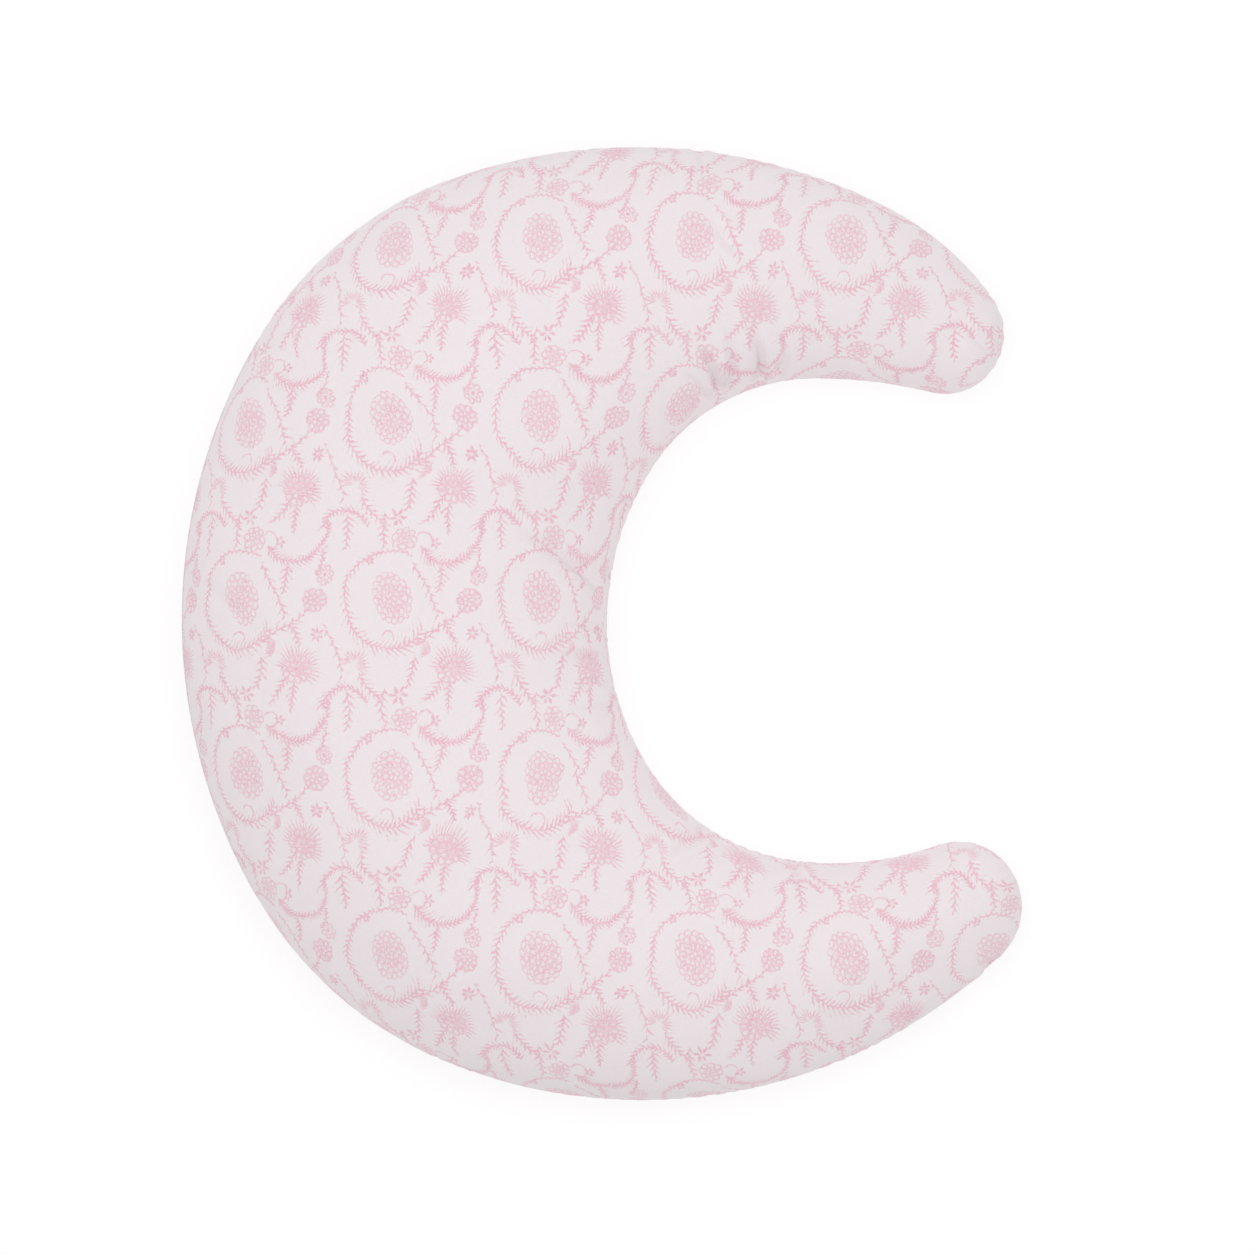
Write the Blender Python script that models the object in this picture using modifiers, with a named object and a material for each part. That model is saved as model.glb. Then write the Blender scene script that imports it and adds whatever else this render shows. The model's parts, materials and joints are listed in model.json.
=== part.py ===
"""C-shaped nursing pillow: zipped cotton cover over a sewn inner case stuffed with fibre.

The pillow lies on its back panel. +Z is up, the horns point to +X, and the origin is on the
resting surface under the middle of the outline. Lengths are metres.
"""
import math

import bmesh
import bpy
from mathutils import Vector

MM = 0.001

# Outline seen from above. Each edge leaves the middle of the back heading +Y as a chain of
# tangent arcs, (radius in mm, sweep in degrees). A positive radius turns clockwise. The lower
# horn is walked the same way in a mirror, so that both halves read alike.
BACK_POINT = (-264.15, 3.0)
WAIST_POINT = (2.55, 0.6)
ZIP_ARC_RADIUS = 346.0
ZIP_ARC_SWEEP = 31.0
UPPER_OUTER = [(ZIP_ARC_RADIUS, ZIP_ARC_SWEEP), (230, 39.5), (348, 46.5), (181, 27.7), (38.4, 98.8)]
UPPER_INNER = [(180, 32.9), (122, 56.3), (300, 14.2), (-38.4, 39.2)]
LOWER_OUTER = [(ZIP_ARC_RADIUS, ZIP_ARC_SWEEP), (242, 36.5), (327, 51.5), (323, 14.8), (42.3, 99.4)]
LOWER_INNER = [(169, 32.3), (129, 51.3), (196, 25.5), (-42.3, 54.1)]

# Stuffed thickness. Half the height at a station follows the width of the body there.
FULL_WIDTH = 255 * MM
HORN_WIDTH = 77 * MM
HALF_HEIGHT = 72.5 * MM
SLIMMING = 0.52
TIP_ROUNDNESS = 0.56
TIP_BLEND = 6
CROWN_RISE = 1.08
SEAM_LEVEL = 0.93

# Lofts: station spacing along the C and around a section.
FLANK_STATIONS = [0.0, 6.0, 12.0, 18.0, 24.2, 30.2, ZIP_ARC_SWEEP]
BODY_STATIONS = 11
TIP_STATIONS = 5
PANEL_STEPS = 9

# Layers: (inset in plan, inset in height, lowest level).
COVER_SKIN = (0.0, 0.0, 0.0)
COVER_THICKNESS = 0.9 * MM
LABEL_SKIN = (4.5 * MM, 1.3 * MM, 1.1 * MM)
LABEL_THICKNESS = 0.35 * MM
CASE_SKIN = (8.5 * MM, 2.2 * MM, 1.3 * MM)
CASE_THICKNESS = 0.8 * MM
FILL_SKIN = (15 * MM, 3.6 * MM, 2.7 * MM)
PANEL_GAP = 0.3 * MM

# Overlocked seam allowances, as (outer inset, inner inset).
COVER_ALLOWANCE = (1.7 * MM, 6.2 * MM)
CASE_ALLOWANCE = (9.8 * MM, 13.8 * MM)
ALLOWANCE_THICKNESS = 0.9 * MM
ALLOWANCE_START = 32.0

# Zip, set into the outer seam along the back. Insets are measured from the outline.
ZIP_MOUTH = 4.5 * MM
MOUTH_END = 30.2
TAPE_END = 30.8
TAPE_INSET = 5.75 * MM
TAPE_THICKNESS = 0.5 * MM
TAPE_EDGE = 0.75 * MM
TAPE_WIDTH = 12.0 * MM
COIL_END = 27.2
COIL_INSET = 4.55 * MM
COIL_RADIUS = 0.65 * MM
COIL_OFFSET = 1.35 * MM
STOP_ANGLE = 27.8
STOP_LENGTH = 3.2 * MM
STOP_INSET = 4.55 * MM
STOP_DEPTH = 1.3 * MM
STOP_EDGE = 0.7 * MM
STOP_ROUNDING = 0.2 * MM
STOP_OUTER_EDGE = 2.3 * MM
ARC_STEP = 2.0
STITCH_HEIGHT = 6.8 * MM
STITCH_RADIUS = 0.25 * MM
STITCH_LIFT = 0.35 * MM

# Slider and puller, in the slider's frame: x along the zip, y outwards, z up.
CLOSED_ANGLE = 26.5
PLATE_LENGTH = 10.0 * MM
PLATE_FRONT_WIDTH = 7.6 * MM
PLATE_REAR_WIDTH = 5.6 * MM
PLATE_THICKNESS = 0.8 * MM
TOP_PLATE_INSET = 3.3 * MM
BOTTOM_PLATE_INSET = 6.8 * MM
WEDGE_LENGTH = 2.4 * MM
WEDGE_WIDTH = 0.9 * MM
WEDGE_PLACE = 2.8 * MM
FLANGE_DEPTH = 0.9 * MM
FLANGE_WIDTH = 0.6 * MM
BRIDGE_LENGTH = 6.0 * MM
BRIDGE_WIDTH = 2.0 * MM
BRIDGE_RISE = 2.3 * MM
BRIDGE_THICKNESS = 0.7 * MM
PIVOT_INSET = 1.9 * MM
PULL_BAR_HALF = 0.35 * MM
PULL_ARM_GAP = 1.4 * MM
PULL_ARM_WIDTH = 1.1 * MM
PULL_LENGTH = 19.0 * MM
PULL_PLATE_START = 3.7 * MM
PULL_THICKNESS = 0.9 * MM
PULL_RING_BACK = 0.7 * MM
PULL_WAIST = 1.7 * MM
PULL_GRIP = 2.7 * MM
GRIP_STEPS = 6
UNION_BITE = 0.1 * MM

# Care label and the closing stitches of the inner case.
LABEL_ARC = (21.0, 26.6)
LABEL_ANGLES = (16.0, 46.0)
CLOSING_ARC = (36.0, 58.0)
CLOSING_STITCHES = 24
CLOSING_RISE = 1.3 * MM


def clear_scene():
    for thing in list(bpy.data.objects):
        bpy.data.objects.remove(thing, do_unlink=True)


def make_collection(name):
    group = bpy.data.collections.new(name)
    bpy.context.scene.collection.children.link(group)
    return group


def make_material(name, colour, roughness, metallic=0.0):
    material = bpy.data.materials.new(name)
    material.use_nodes = True
    shader = material.node_tree.nodes["Principled BSDF"]
    shader.inputs["Base Color"].default_value = (*colour, 1.0)
    shader.inputs["Roughness"].default_value = roughness
    shader.inputs["Metallic"].default_value = metallic
    material.diffuse_color = (*colour, 1.0)
    return material


class Edge:
    """One edge of the C. stuffing is 1 where the body lies right of the walk and -1 left of it."""

    def __init__(self, start, arcs, stuffing, mirror):
        self.stuffing = stuffing
        self.mirror = mirror
        self.arcs = []
        self.length = 0.0
        x, y = start[0] * MM, start[1] * mirror * MM
        heading = math.pi / 2
        for radius_mm, sweep_degrees in arcs:
            radius = radius_mm * MM
            sweep = math.radians(sweep_degrees)
            centre = (x + radius * math.sin(heading), y - radius * math.cos(heading))
            self.arcs.append((self.length, centre, radius, heading))
            self.length += abs(radius) * sweep
            heading -= math.copysign(sweep, radius)
            x = centre[0] - radius * math.sin(heading)
            y = centre[1] + radius * math.cos(heading)

    def tip_start(self):
        return self.arcs[-1][0] / self.length

    def place(self, distance, inset=0.0):
        """Point at a distance along the edge, moved towards the stuffing by the inset."""
        first, centre, radius, heading = next(arc for arc in reversed(self.arcs) if arc[0] <= distance)
        heading -= (distance - first) / radius
        reach = radius - self.stuffing * inset
        x = centre[0] - reach * math.sin(heading)
        y = centre[1] + reach * math.cos(heading)
        return Vector((x, y * self.mirror, 0.0))


class Half:
    """One horn: its outer and inner edge, walked together from the back to the tip."""

    def __init__(self, outer, inner, mirror):
        self.outer = Edge(BACK_POINT, outer, 1, mirror)
        self.inner = Edge(WAIST_POINT, inner, -1, mirror)

    def flank(self, degrees):
        """Fraction of the half that an angle on the zip's arc stands for."""
        return math.radians(degrees) * ZIP_ARC_RADIUS * MM / self.outer.length

    def tip(self, inset=0.0):
        return self.outer.place(self.outer.length, inset)

    def rails(self, fraction, inset=0.0):
        """Outer and inner point at a station, the inner one eased so that both meet at the tip."""
        outer = self.outer.place(fraction * self.outer.length, inset)
        inner = self.inner.place(fraction * self.inner.length, inset)
        miss = self.tip(inset) - self.inner.place(self.inner.length, inset)
        first = self.inner.tip_start()
        ease = max(0.0, (fraction - first) / (1 - first))
        return outer, inner + miss * ease

    def seam_level(self, width):
        share = min(max(width, HORN_WIDTH), FULL_WIDTH) / FULL_WIDTH
        return SEAM_LEVEL * HALF_HEIGHT * share ** SLIMMING

    def section(self, fraction, skin):
        """Middle, half width vector, seam level and half height of a section of a layer."""
        outer, inner = self.rails(fraction)
        width = (outer - inner).length
        level = self.seam_level(width)
        body = level / SEAM_LEVEL
        tip = TIP_ROUNDNESS * width
        height = (body ** -TIP_BLEND + tip ** -TIP_BLEND) ** (-1 / TIP_BLEND) - skin[1]
        outer, inner = self.rails(fraction, skin[0])
        return (outer + inner) / 2, (outer - inner) / 2, level, height

    def surface(self, fraction, angle, skin):
        """Point of a layer's surface: angle 0 is the outer edge, pi the inner edge."""
        middle, half, level, height = self.section(fraction, skin)
        rise = math.sin(angle) * height * (CROWN_RISE if math.sin(angle) > 0 else 1.0)
        point = middle + half * math.cos(angle)
        point.z = max(level + rise, skin[2])
        return point

    def tip_point(self, skin, lift=0.0):
        point = self.tip(skin[0])
        point.z = self.seam_level(HORN_WIDTH) + lift
        return point

    def stations(self):
        """Fractions from the back to just short of the tip, with stations at the zip's ends."""
        flank = [self.flank(angle) for angle in FLANK_STATIONS]
        tip = self.outer.tip_start()
        body = [flank[-1] + (tip - flank[-1]) * i / BODY_STATIONS for i in range(1, BODY_STATIONS + 1)]
        horn = [tip + (1 - tip) * i / TIP_STATIONS for i in range(1, TIP_STATIONS)]
        return flank + body + horn


UPPER = Half(UPPER_OUTER, UPPER_INNER, 1)
LOWER = Half(LOWER_OUTER, LOWER_INNER, -1)
ZIP_LEVEL = SEAM_LEVEL * HALF_HEIGHT
ZIP_CENTRE = Vector(((BACK_POINT[0] + ZIP_ARC_RADIUS) * MM, BACK_POINT[1] * MM, ZIP_LEVEL))


def walk():
    """All stations from the lower tip to the upper tip, as (half, fraction)."""
    lower = [(LOWER, fraction) for fraction in reversed(LOWER.stations())]
    return lower[:-1] + [(UPPER, fraction) for fraction in UPPER.stations()]


def mouth_gap(half, fraction):
    """Half the opening of the outer seam: wide along the zip and nearly closed beyond it."""
    return ZIP_MOUTH if fraction < half.flank(MOUTH_END + 0.1) else PANEL_GAP


def panel_angles(half, fraction, skin, zipped, side):
    """Angles over the crown (side 1) or under the base (side -1), clear of the seam."""
    height = half.section(fraction, skin)[3]
    first = math.asin((mouth_gap(half, fraction) if zipped else PANEL_GAP) / height)
    last = math.pi - math.asin(PANEL_GAP / height)
    return [side * (first + (last - first) * j / PANEL_STEPS) for j in range(PANEL_STEPS + 1)]


def ring_angles():
    steps = PANEL_STEPS * 2
    return [2 * math.pi * j / steps for j in range(steps)]


def place_object(name, mesh, material, group, location=(0, 0, 0)):
    piece = bpy.data.objects.new(name, mesh)
    piece.location = location
    group.objects.link(piece)
    mesh.materials.clear()
    mesh.materials.append(material)
    return piece


def loft(name, rows, closed, ends=()):
    """Mesh through rows of points, closed around each row or open, with single end points."""
    form = bmesh.new()
    grid = [[form.verts.new(point) for point in row] for row in rows]
    wrap = len(grid[0]) if closed else len(grid[0]) - 1
    for here, there in zip(grid, grid[1:]):
        for j in range(wrap):
            k = (j + 1) % len(here)
            form.faces.new((here[j], here[k], there[k], there[j]))
    for point, row in zip(ends, (grid[0], grid[-1])):
        pole = form.verts.new(point)
        for j in range(wrap):
            form.faces.new((row[j], row[(j + 1) % len(row)], pole))
    bmesh.ops.recalc_face_normals(form, faces=form.faces)
    mesh = bpy.data.meshes.new(name)
    form.to_mesh(mesh)
    form.free()
    mesh.shade_smooth()
    return mesh


def face_outwards(mesh, inside):
    """Turn an open sheet so that its faces look away from a point inside it."""
    face = mesh.polygons[len(mesh.polygons) // 2]
    if face.normal.dot(face.center - Vector(inside)) < 0:
        mesh.flip_normals()


def thicken(piece, thickness, offset=-1.0):
    wall = piece.modifiers.new("Thickness", "SOLIDIFY")
    wall.thickness = thickness
    wall.offset = offset
    wall.use_even_offset = True


def make_panel(name, skin, thickness, side, zipped, material, group):
    """Half of a stuffed skin, above or below the seam."""
    rows = []
    for half, fraction in walk():
        angles = panel_angles(half, fraction, skin, zipped, side)
        rows.append([half.surface(fraction, angle, skin) for angle in angles])
    tips = [half.tip_point(skin, side * PANEL_GAP) for half in (LOWER, UPPER)]
    mesh = loft(name, rows, closed=False, ends=tips)
    back = (BACK_POINT[0] + WAIST_POINT[0]) / 2 * MM
    face_outwards(mesh, (back, 0, ZIP_LEVEL))
    piece = place_object(name, mesh, material, group)
    thicken(piece, thickness)
    return piece


def make_fill(material, group):
    rows = []
    for half, fraction in walk():
        rows.append([half.surface(fraction, angle, FILL_SKIN) for angle in ring_angles()])
    tips = (LOWER.tip_point(FILL_SKIN), UPPER.tip_point(FILL_SKIN))
    mesh = loft("fibre_fill", rows, closed=True, ends=tips)
    return place_object("fibre_fill", mesh, material, group)


def edge_point(half, fraction, inset, outer):
    point = half.rails(fraction, inset)[0 if outer else 1].copy()
    point.z = half.section(fraction, COVER_SKIN)[2]
    return point


def seam_leg(half, inset, zipped):
    """Half of the seam: along the outer edge, round the tip and back along the inner edge."""
    stations = half.stations()
    outward = [half.flank(ALLOWANCE_START)] if zipped else []
    outward += [f for f in stations if not zipped or f > outward[0]]
    tip = half.tip(inset)
    tip.z = half.seam_level(HORN_WIDTH)
    leg = [edge_point(half, f, inset, True) for f in outward]
    return leg + [tip] + [edge_point(half, f, inset, False) for f in reversed(stations) if f > 0]


def seam_path(inset, zipped):
    """The seam round the C at an inset: all of it, or only what the zip leaves closed."""
    waist = edge_point(UPPER, 0.0, inset, False)
    path = seam_leg(UPPER, inset, zipped) + [waist] + seam_leg(LOWER, inset, zipped)[::-1]
    return path if zipped else path[:-1]


def make_seam(name, allowance, zipped, material, group):
    """Overlocked seam allowance: a narrow band standing in from the seam."""
    rows = [seam_path(inset, zipped) for inset in allowance]
    mesh = loft(name, rows, closed=not zipped)
    piece = place_object(name, mesh, material, group)
    thicken(piece, ALLOWANCE_THICKNESS, 0.0)
    return piece


def make_label(material, group):
    """Blank care label, hanging inside the cover below the zip's lower end."""
    first, last = (LOWER.flank(angle) for angle in LABEL_ARC)
    high, low = (math.radians(a) for a in LABEL_ANGLES)
    rows = []
    for i in range(4):
        fraction = first + (last - first) * i / 3
        angles = [-(high + (low - high) * j / 6) for j in range(7)]
        rows.append([LOWER.surface(fraction, angle, LABEL_SKIN) for angle in angles])
    piece = place_object("care_label", loft("care_label", rows, closed=False), material, group)
    thicken(piece, LABEL_THICKNESS)
    return piece


def arc_angles(first, last):
    steps = math.ceil(abs(last - first) / ARC_STEP)
    return [first + (last - first) * i / steps for i in range(steps + 1)]


def zip_point(angle, inset, height):
    """Point on the zip's arc, in the frame of the arc's centre. Angles run up the back to +Y."""
    turn = math.radians(angle)
    reach = ZIP_ARC_RADIUS * MM - inset
    return Vector((-reach * math.cos(turn), reach * math.sin(turn), height))


def make_wire(name, points, radius, material, group, location):
    """Thread or coil: a poly curve with a round section and filled caps."""
    curve = bpy.data.curves.new(name, "CURVE")
    curve.dimensions = "3D"
    curve.bevel_depth = radius
    curve.bevel_resolution = 1
    curve.use_fill_caps = True
    spline = curve.splines.new("POLY")
    spline.points.add(len(points) - 1)
    for knot, point in zip(spline.points, points):
        knot.co = (*point, 1.0)
    curve.materials.append(material)
    piece = bpy.data.objects.new(name, curve)
    piece.location = location
    group.objects.link(piece)
    return piece


def make_tape(name, side, material, group):
    """Woven tape: a short upright line turned about the zip's centre, then given thickness."""
    form = bmesh.new()
    low = form.verts.new(zip_point(-TAPE_END, TAPE_INSET, side * TAPE_EDGE))
    high = form.verts.new(zip_point(-TAPE_END, TAPE_INSET, side * (TAPE_EDGE + TAPE_WIDTH)))
    form.edges.new((low, high))
    mesh = bpy.data.meshes.new(name)
    form.to_mesh(mesh)
    form.free()
    piece = place_object(name, mesh, material, group, ZIP_CENTRE)
    turn = piece.modifiers.new("Turn", "SCREW")
    turn.angle = math.radians(-2 * TAPE_END)
    turn.steps = math.ceil(2 * TAPE_END / ARC_STEP)
    turn.render_steps = turn.steps
    turn.use_merge_vertices = False
    thicken(piece, TAPE_THICKNESS, 0.0)
    return piece


def make_coil(name, side, material, group):
    points = [zip_point(a, COIL_INSET, side * COIL_OFFSET) for a in arc_angles(-COIL_END, COIL_END)]
    return make_wire(name, points, COIL_RADIUS, material, group, ZIP_CENTRE)


def make_zip_stitching(name, side, material, group):
    """Row of lockstitch on the cover beside the zip, just proud of the cloth."""
    height = HALF_HEIGHT * (CROWN_RISE if side > 0 else 1.0)
    width = UPPER.section(0.0, COVER_SKIN)[1].length
    inset = width * (1 - math.sqrt(1 - (STITCH_HEIGHT / height) ** 2))
    inset -= STITCH_RADIUS + STITCH_LIFT
    points = [zip_point(a, inset, side * STITCH_HEIGHT) for a in arc_angles(-MOUTH_END, MOUTH_END)]
    return make_wire(name, points, STITCH_RADIUS, material, group, ZIP_CENTRE)


def make_closing_stitches(material, group):
    """Whipped stitches that close the inner case where the fibre went in."""
    first, last = CLOSING_ARC
    inset = CASE_SKIN[0] - STITCH_RADIUS - STITCH_LIFT
    points = []
    for i in range(CLOSING_STITCHES + 1):
        angle = first + (last - first) * i / CLOSING_STITCHES
        point = edge_point(LOWER, LOWER.flank(angle), inset, True)
        point.z += CLOSING_RISE * (-1) ** i
        points.append(point)
    return make_wire("inner_case_closing_stitches", points, STITCH_RADIUS, material, group, (0, 0, 0))


def make_stop(name, angle, low, high, material, group):
    """Moulded stop on the tape edge; low and high are heights from the middle of the zip."""
    stop = make_bar(name, (STOP_LENGTH, STOP_DEPTH, high - low), (0, 0, 0), group)
    stop.location = ZIP_CENTRE + zip_point(angle, STOP_INSET, (low + high) / 2)
    stop.rotation_euler = (0, 0, math.pi / 2 - math.radians(angle))
    stop.data.materials.append(material)
    edge = stop.modifiers.new("Rounding", "BEVEL")
    edge.width = STOP_ROUNDING
    edge.segments = 1
    return stop


def union(piece, others):
    """Join overlapping solids to a piece; the others stay as hidden guides."""
    for i, other in enumerate(others):
        other.hide_render = True
        other.display_type = "WIRE"
        join = piece.modifiers.new(f"Join {i}", "BOOLEAN")
        join.operation = "UNION"
        join.solver = "EXACT"
        join.object = other


def cut(piece, tool):
    tool.hide_render = True
    tool.display_type = "WIRE"
    hollow = piece.modifiers.new("Opening", "BOOLEAN")
    hollow.operation = "DIFFERENCE"
    hollow.solver = "EXACT"
    hollow.object = tool


def make_outline_plate(name, outline, inset, thickness, group):
    """Flat plate from an outline of (along, up) points, standing at an inset behind the pivot."""
    curve = bpy.data.curves.new(name, "CURVE")
    curve.dimensions = "2D"
    curve.fill_mode = "BOTH"
    curve.extrude = thickness / 2
    spline = curve.splines.new("POLY")
    spline.points.add(len(outline) - 1)
    for knot, point in zip(spline.points, outline):
        knot.co = (*point, 0.0, 1.0)
    spline.use_cyclic_u = True
    drawn = bpy.data.objects.new(name, curve)
    group.objects.link(drawn)
    bpy.context.view_layer.update()
    mesh = bpy.data.meshes.new_from_object(drawn.evaluated_get(bpy.context.evaluated_depsgraph_get()))
    bpy.data.objects.remove(drawn)
    form = bmesh.new()
    form.from_mesh(mesh)
    bmesh.ops.remove_doubles(form, verts=form.verts, dist=1e-6)
    for vert in form.verts:
        along, up, depth = vert.co
        vert.co = (along, -inset + depth, up)
    bmesh.ops.recalc_face_normals(form, faces=form.faces)
    form.to_mesh(mesh)
    form.free()
    piece = bpy.data.objects.new(name, mesh)
    group.objects.link(piece)
    return piece


def make_bar(name, size, centre, group):
    """Plain block in the slider's frame, used to build up the slider and the puller."""
    form = bmesh.new()
    bmesh.ops.create_cube(form, size=1.0)
    for vert in form.verts:
        vert.co = Vector([vert.co[k] * size[k] + centre[k] for k in range(3)])
    mesh = bpy.data.meshes.new(name)
    form.to_mesh(mesh)
    form.free()
    piece = bpy.data.objects.new(name, mesh)
    group.objects.link(piece)
    return piece


def slider_outline():
    """Y-shaped plate: a broad front with a notch, drawn in to a narrower rear."""
    front, rear, half = PLATE_FRONT_WIDTH / 2, PLATE_REAR_WIDTH / 2, PLATE_LENGTH / 2
    corner = 1.0 * MM
    upper = [(half, front * 0.55), (half - corner * 0.4, front - corner * 0.3), (half - corner, front),
             (corner * 0.8, front * 0.96), (-corner * 1.6, rear), (corner - half, rear), (-half, rear - corner)]
    return upper + [(x, -z) for x, z in reversed(upper)] + [(half - corner * 0.9, 0.0)]


def slider_frame(piece, place, turn):
    piece.location = place
    piece.rotation_euler = (0, 0, turn)


def make_slider(material, group, guides):
    """Slider: two plates round the coils, joined by the wedge, with the bridge for the puller."""
    turn = math.pi / 2 - math.radians(CLOSED_ANGLE)
    place = ZIP_CENTRE + zip_point(CLOSED_ANGLE, 0.0, 0.0)
    outline = slider_outline()
    body = make_outline_plate("zip_slider_body", outline, TOP_PLATE_INSET, PLATE_THICKNESS, group)
    rear_plate = make_outline_plate("slider_rear_plate", outline, BOTTOM_PLATE_INSET, PLATE_THICKNESS, guides)
    depth = BOTTOM_PLATE_INSET - TOP_PLATE_INSET
    middle = (BOTTOM_PLATE_INSET + TOP_PLATE_INSET) / 2
    wedge = make_bar("slider_wedge", (WEDGE_LENGTH, depth, WEDGE_WIDTH), (WEDGE_PLACE, -middle, 0), guides)
    parts = [wedge, rear_plate]
    flange_at = PLATE_REAR_WIDTH / 2 - FLANGE_WIDTH / 2
    flange_y = -TOP_PLATE_INSET - PLATE_THICKNESS / 2 - FLANGE_DEPTH / 2 + UNION_BITE
    for side in (-1, 1):
        size = (PLATE_LENGTH * 0.8, FLANGE_DEPTH, FLANGE_WIDTH)
        parts.append(make_bar("slider_flange", size, (-0.4 * MM, flange_y, side * flange_at), guides))
    foot = TOP_PLATE_INSET - PLATE_THICKNESS / 2
    block_y = -(foot + UNION_BITE) + (BRIDGE_RISE + UNION_BITE) / 2
    block = (BRIDGE_LENGTH, BRIDGE_RISE + UNION_BITE, BRIDGE_WIDTH)
    bridge = make_bar("slider_bridge", block, (0, block_y, 0), guides)
    eye_depth = BRIDGE_RISE - BRIDGE_THICKNESS
    eye = make_bar("bridge_eye", (BRIDGE_LENGTH - 2 * BRIDGE_THICKNESS, eye_depth, BRIDGE_WIDTH * 2),
                   (0, -foot + eye_depth / 2, 0), guides)
    cut(bridge, eye)
    parts.append(bridge)
    union(body, parts)
    body.data.materials.append(material)
    for piece in [body, eye] + parts:
        slider_frame(piece, place, turn)
    return body


def puller_outline():
    """Puller seen flat: a ring end for the bridge, a waist and a rounded grip."""
    half_ring = PULL_ARM_GAP + PULL_ARM_WIDTH
    corner = 0.4 * MM
    upper = [(-PULL_RING_BACK, half_ring - corner), (corner - PULL_RING_BACK, half_ring),
             (PULL_PLATE_START, half_ring), (PULL_PLATE_START + 2.2 * MM, PULL_WAIST),
             (PULL_PLATE_START + 4.5 * MM, PULL_GRIP)]
    for i in range(GRIP_STEPS):
        angle = math.pi / 2 * (1 - i / GRIP_STEPS)
        x = PULL_LENGTH + PULL_GRIP * (math.cos(angle) - 1)
        upper.append((x, PULL_GRIP * math.sin(angle)))
    return upper + [(PULL_LENGTH, 0.0)] + [(x, -z) for x, z in reversed(upper)]


def make_puller(material, group, guides):
    """Puller on the bridge: its origin is the bar that turns in the bridge's eye."""
    turn = math.pi / 2 - math.radians(CLOSED_ANGLE) + math.pi
    place = ZIP_CENTRE + zip_point(CLOSED_ANGLE, PIVOT_INSET, 0.0)
    puller = make_outline_plate("zip_puller", puller_outline(), 0.0, PULL_THICKNESS, group)
    window_length = PULL_PLATE_START - 0.3 * MM - PULL_BAR_HALF
    window_middle = PULL_BAR_HALF + window_length / 2
    window = make_bar("puller_window", (window_length, PULL_THICKNESS * 2, PULL_ARM_GAP * 2),
                      (window_middle, 0, 0), guides)
    cut(puller, window)
    relief = make_bar("puller_relief", (2.4 * MM, PULL_THICKNESS * 2, PULL_ARM_GAP * 2),
                      (-PULL_BAR_HALF - 1.2 * MM, 0, 0), guides)
    cut(puller, relief)
    thinning = []
    for side in (-1, 1):
        size = (PULL_BAR_HALF * 4, PULL_THICKNESS, PULL_ARM_GAP * 2)
        y = side * (PULL_BAR_HALF + PULL_THICKNESS / 2)
        thinning.append(make_bar("puller_bar_relief", size, (0, y, 0), guides))
        cut(puller, thinning[-1])
    puller.data.materials.append(material)
    for piece in [puller, window, relief] + thinning:
        slider_frame(piece, place, turn)
    return puller


def build():
    clear_scene()
    group = make_collection("nursing_pillow")
    guides = make_collection("cutters")

    cotton = make_material("printed_cotton", (0.84, 0.70, 0.75), 0.85)
    lining = make_material("white_calico", (0.82, 0.80, 0.76), 0.9)
    thread = make_material("sewing_thread", (0.86, 0.80, 0.82), 0.7)
    fibre = make_material("polyester_fibre", (0.88, 0.88, 0.87), 0.95)
    tape = make_material("zip_tape", (0.85, 0.82, 0.83), 0.8)
    nylon = make_material("zip_nylon", (0.86, 0.85, 0.85), 0.45)
    enamel = make_material("slider_enamel", (0.86, 0.84, 0.85), 0.3, 0.2)
    satin = make_material("label_satin", (0.9, 0.9, 0.88), 0.5)

    make_panel("cover_front_panel", COVER_SKIN, COVER_THICKNESS, 1, True, cotton, group)
    make_panel("cover_back_panel", COVER_SKIN, COVER_THICKNESS, -1, True, cotton, group)
    make_seam("cover_seam_overlock", COVER_ALLOWANCE, True, thread, group)
    make_tape("zip_tape_upper", 1, tape, group)
    make_tape("zip_tape_lower", -1, tape, group)
    make_coil("zip_coil_upper", 1, nylon, group)
    make_coil("zip_coil_lower", -1, nylon, group)
    make_zip_stitching("zip_stitching_upper", 1, thread, group)
    make_zip_stitching("zip_stitching_lower", -1, thread, group)
    make_stop("zip_top_stop_upper", STOP_ANGLE, STOP_EDGE, STOP_OUTER_EDGE, nylon, group)
    make_stop("zip_top_stop_lower", STOP_ANGLE, -STOP_OUTER_EDGE, -STOP_EDGE, nylon, group)
    make_stop("zip_bottom_stop", -STOP_ANGLE, -STOP_OUTER_EDGE, STOP_OUTER_EDGE, nylon, group)
    make_slider(enamel, group, guides)
    make_puller(enamel, group, guides)
    make_label(satin, group)
    make_panel("inner_case_front", CASE_SKIN, CASE_THICKNESS, 1, False, lining, group)
    make_panel("inner_case_back", CASE_SKIN, CASE_THICKNESS, -1, False, lining, group)
    make_seam("inner_case_seam_overlock", CASE_ALLOWANCE, False, thread, group)
    make_closing_stitches(thread, group)
    make_fill(fibre, group)


build()
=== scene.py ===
"""Looks of the nursing pillow: printed percale cover, zip, inner case and stuffing.

Lengths are metres, except inside the print, whose repeat is drawn in millimetres of flat cloth.
"""

import json
import math

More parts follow.
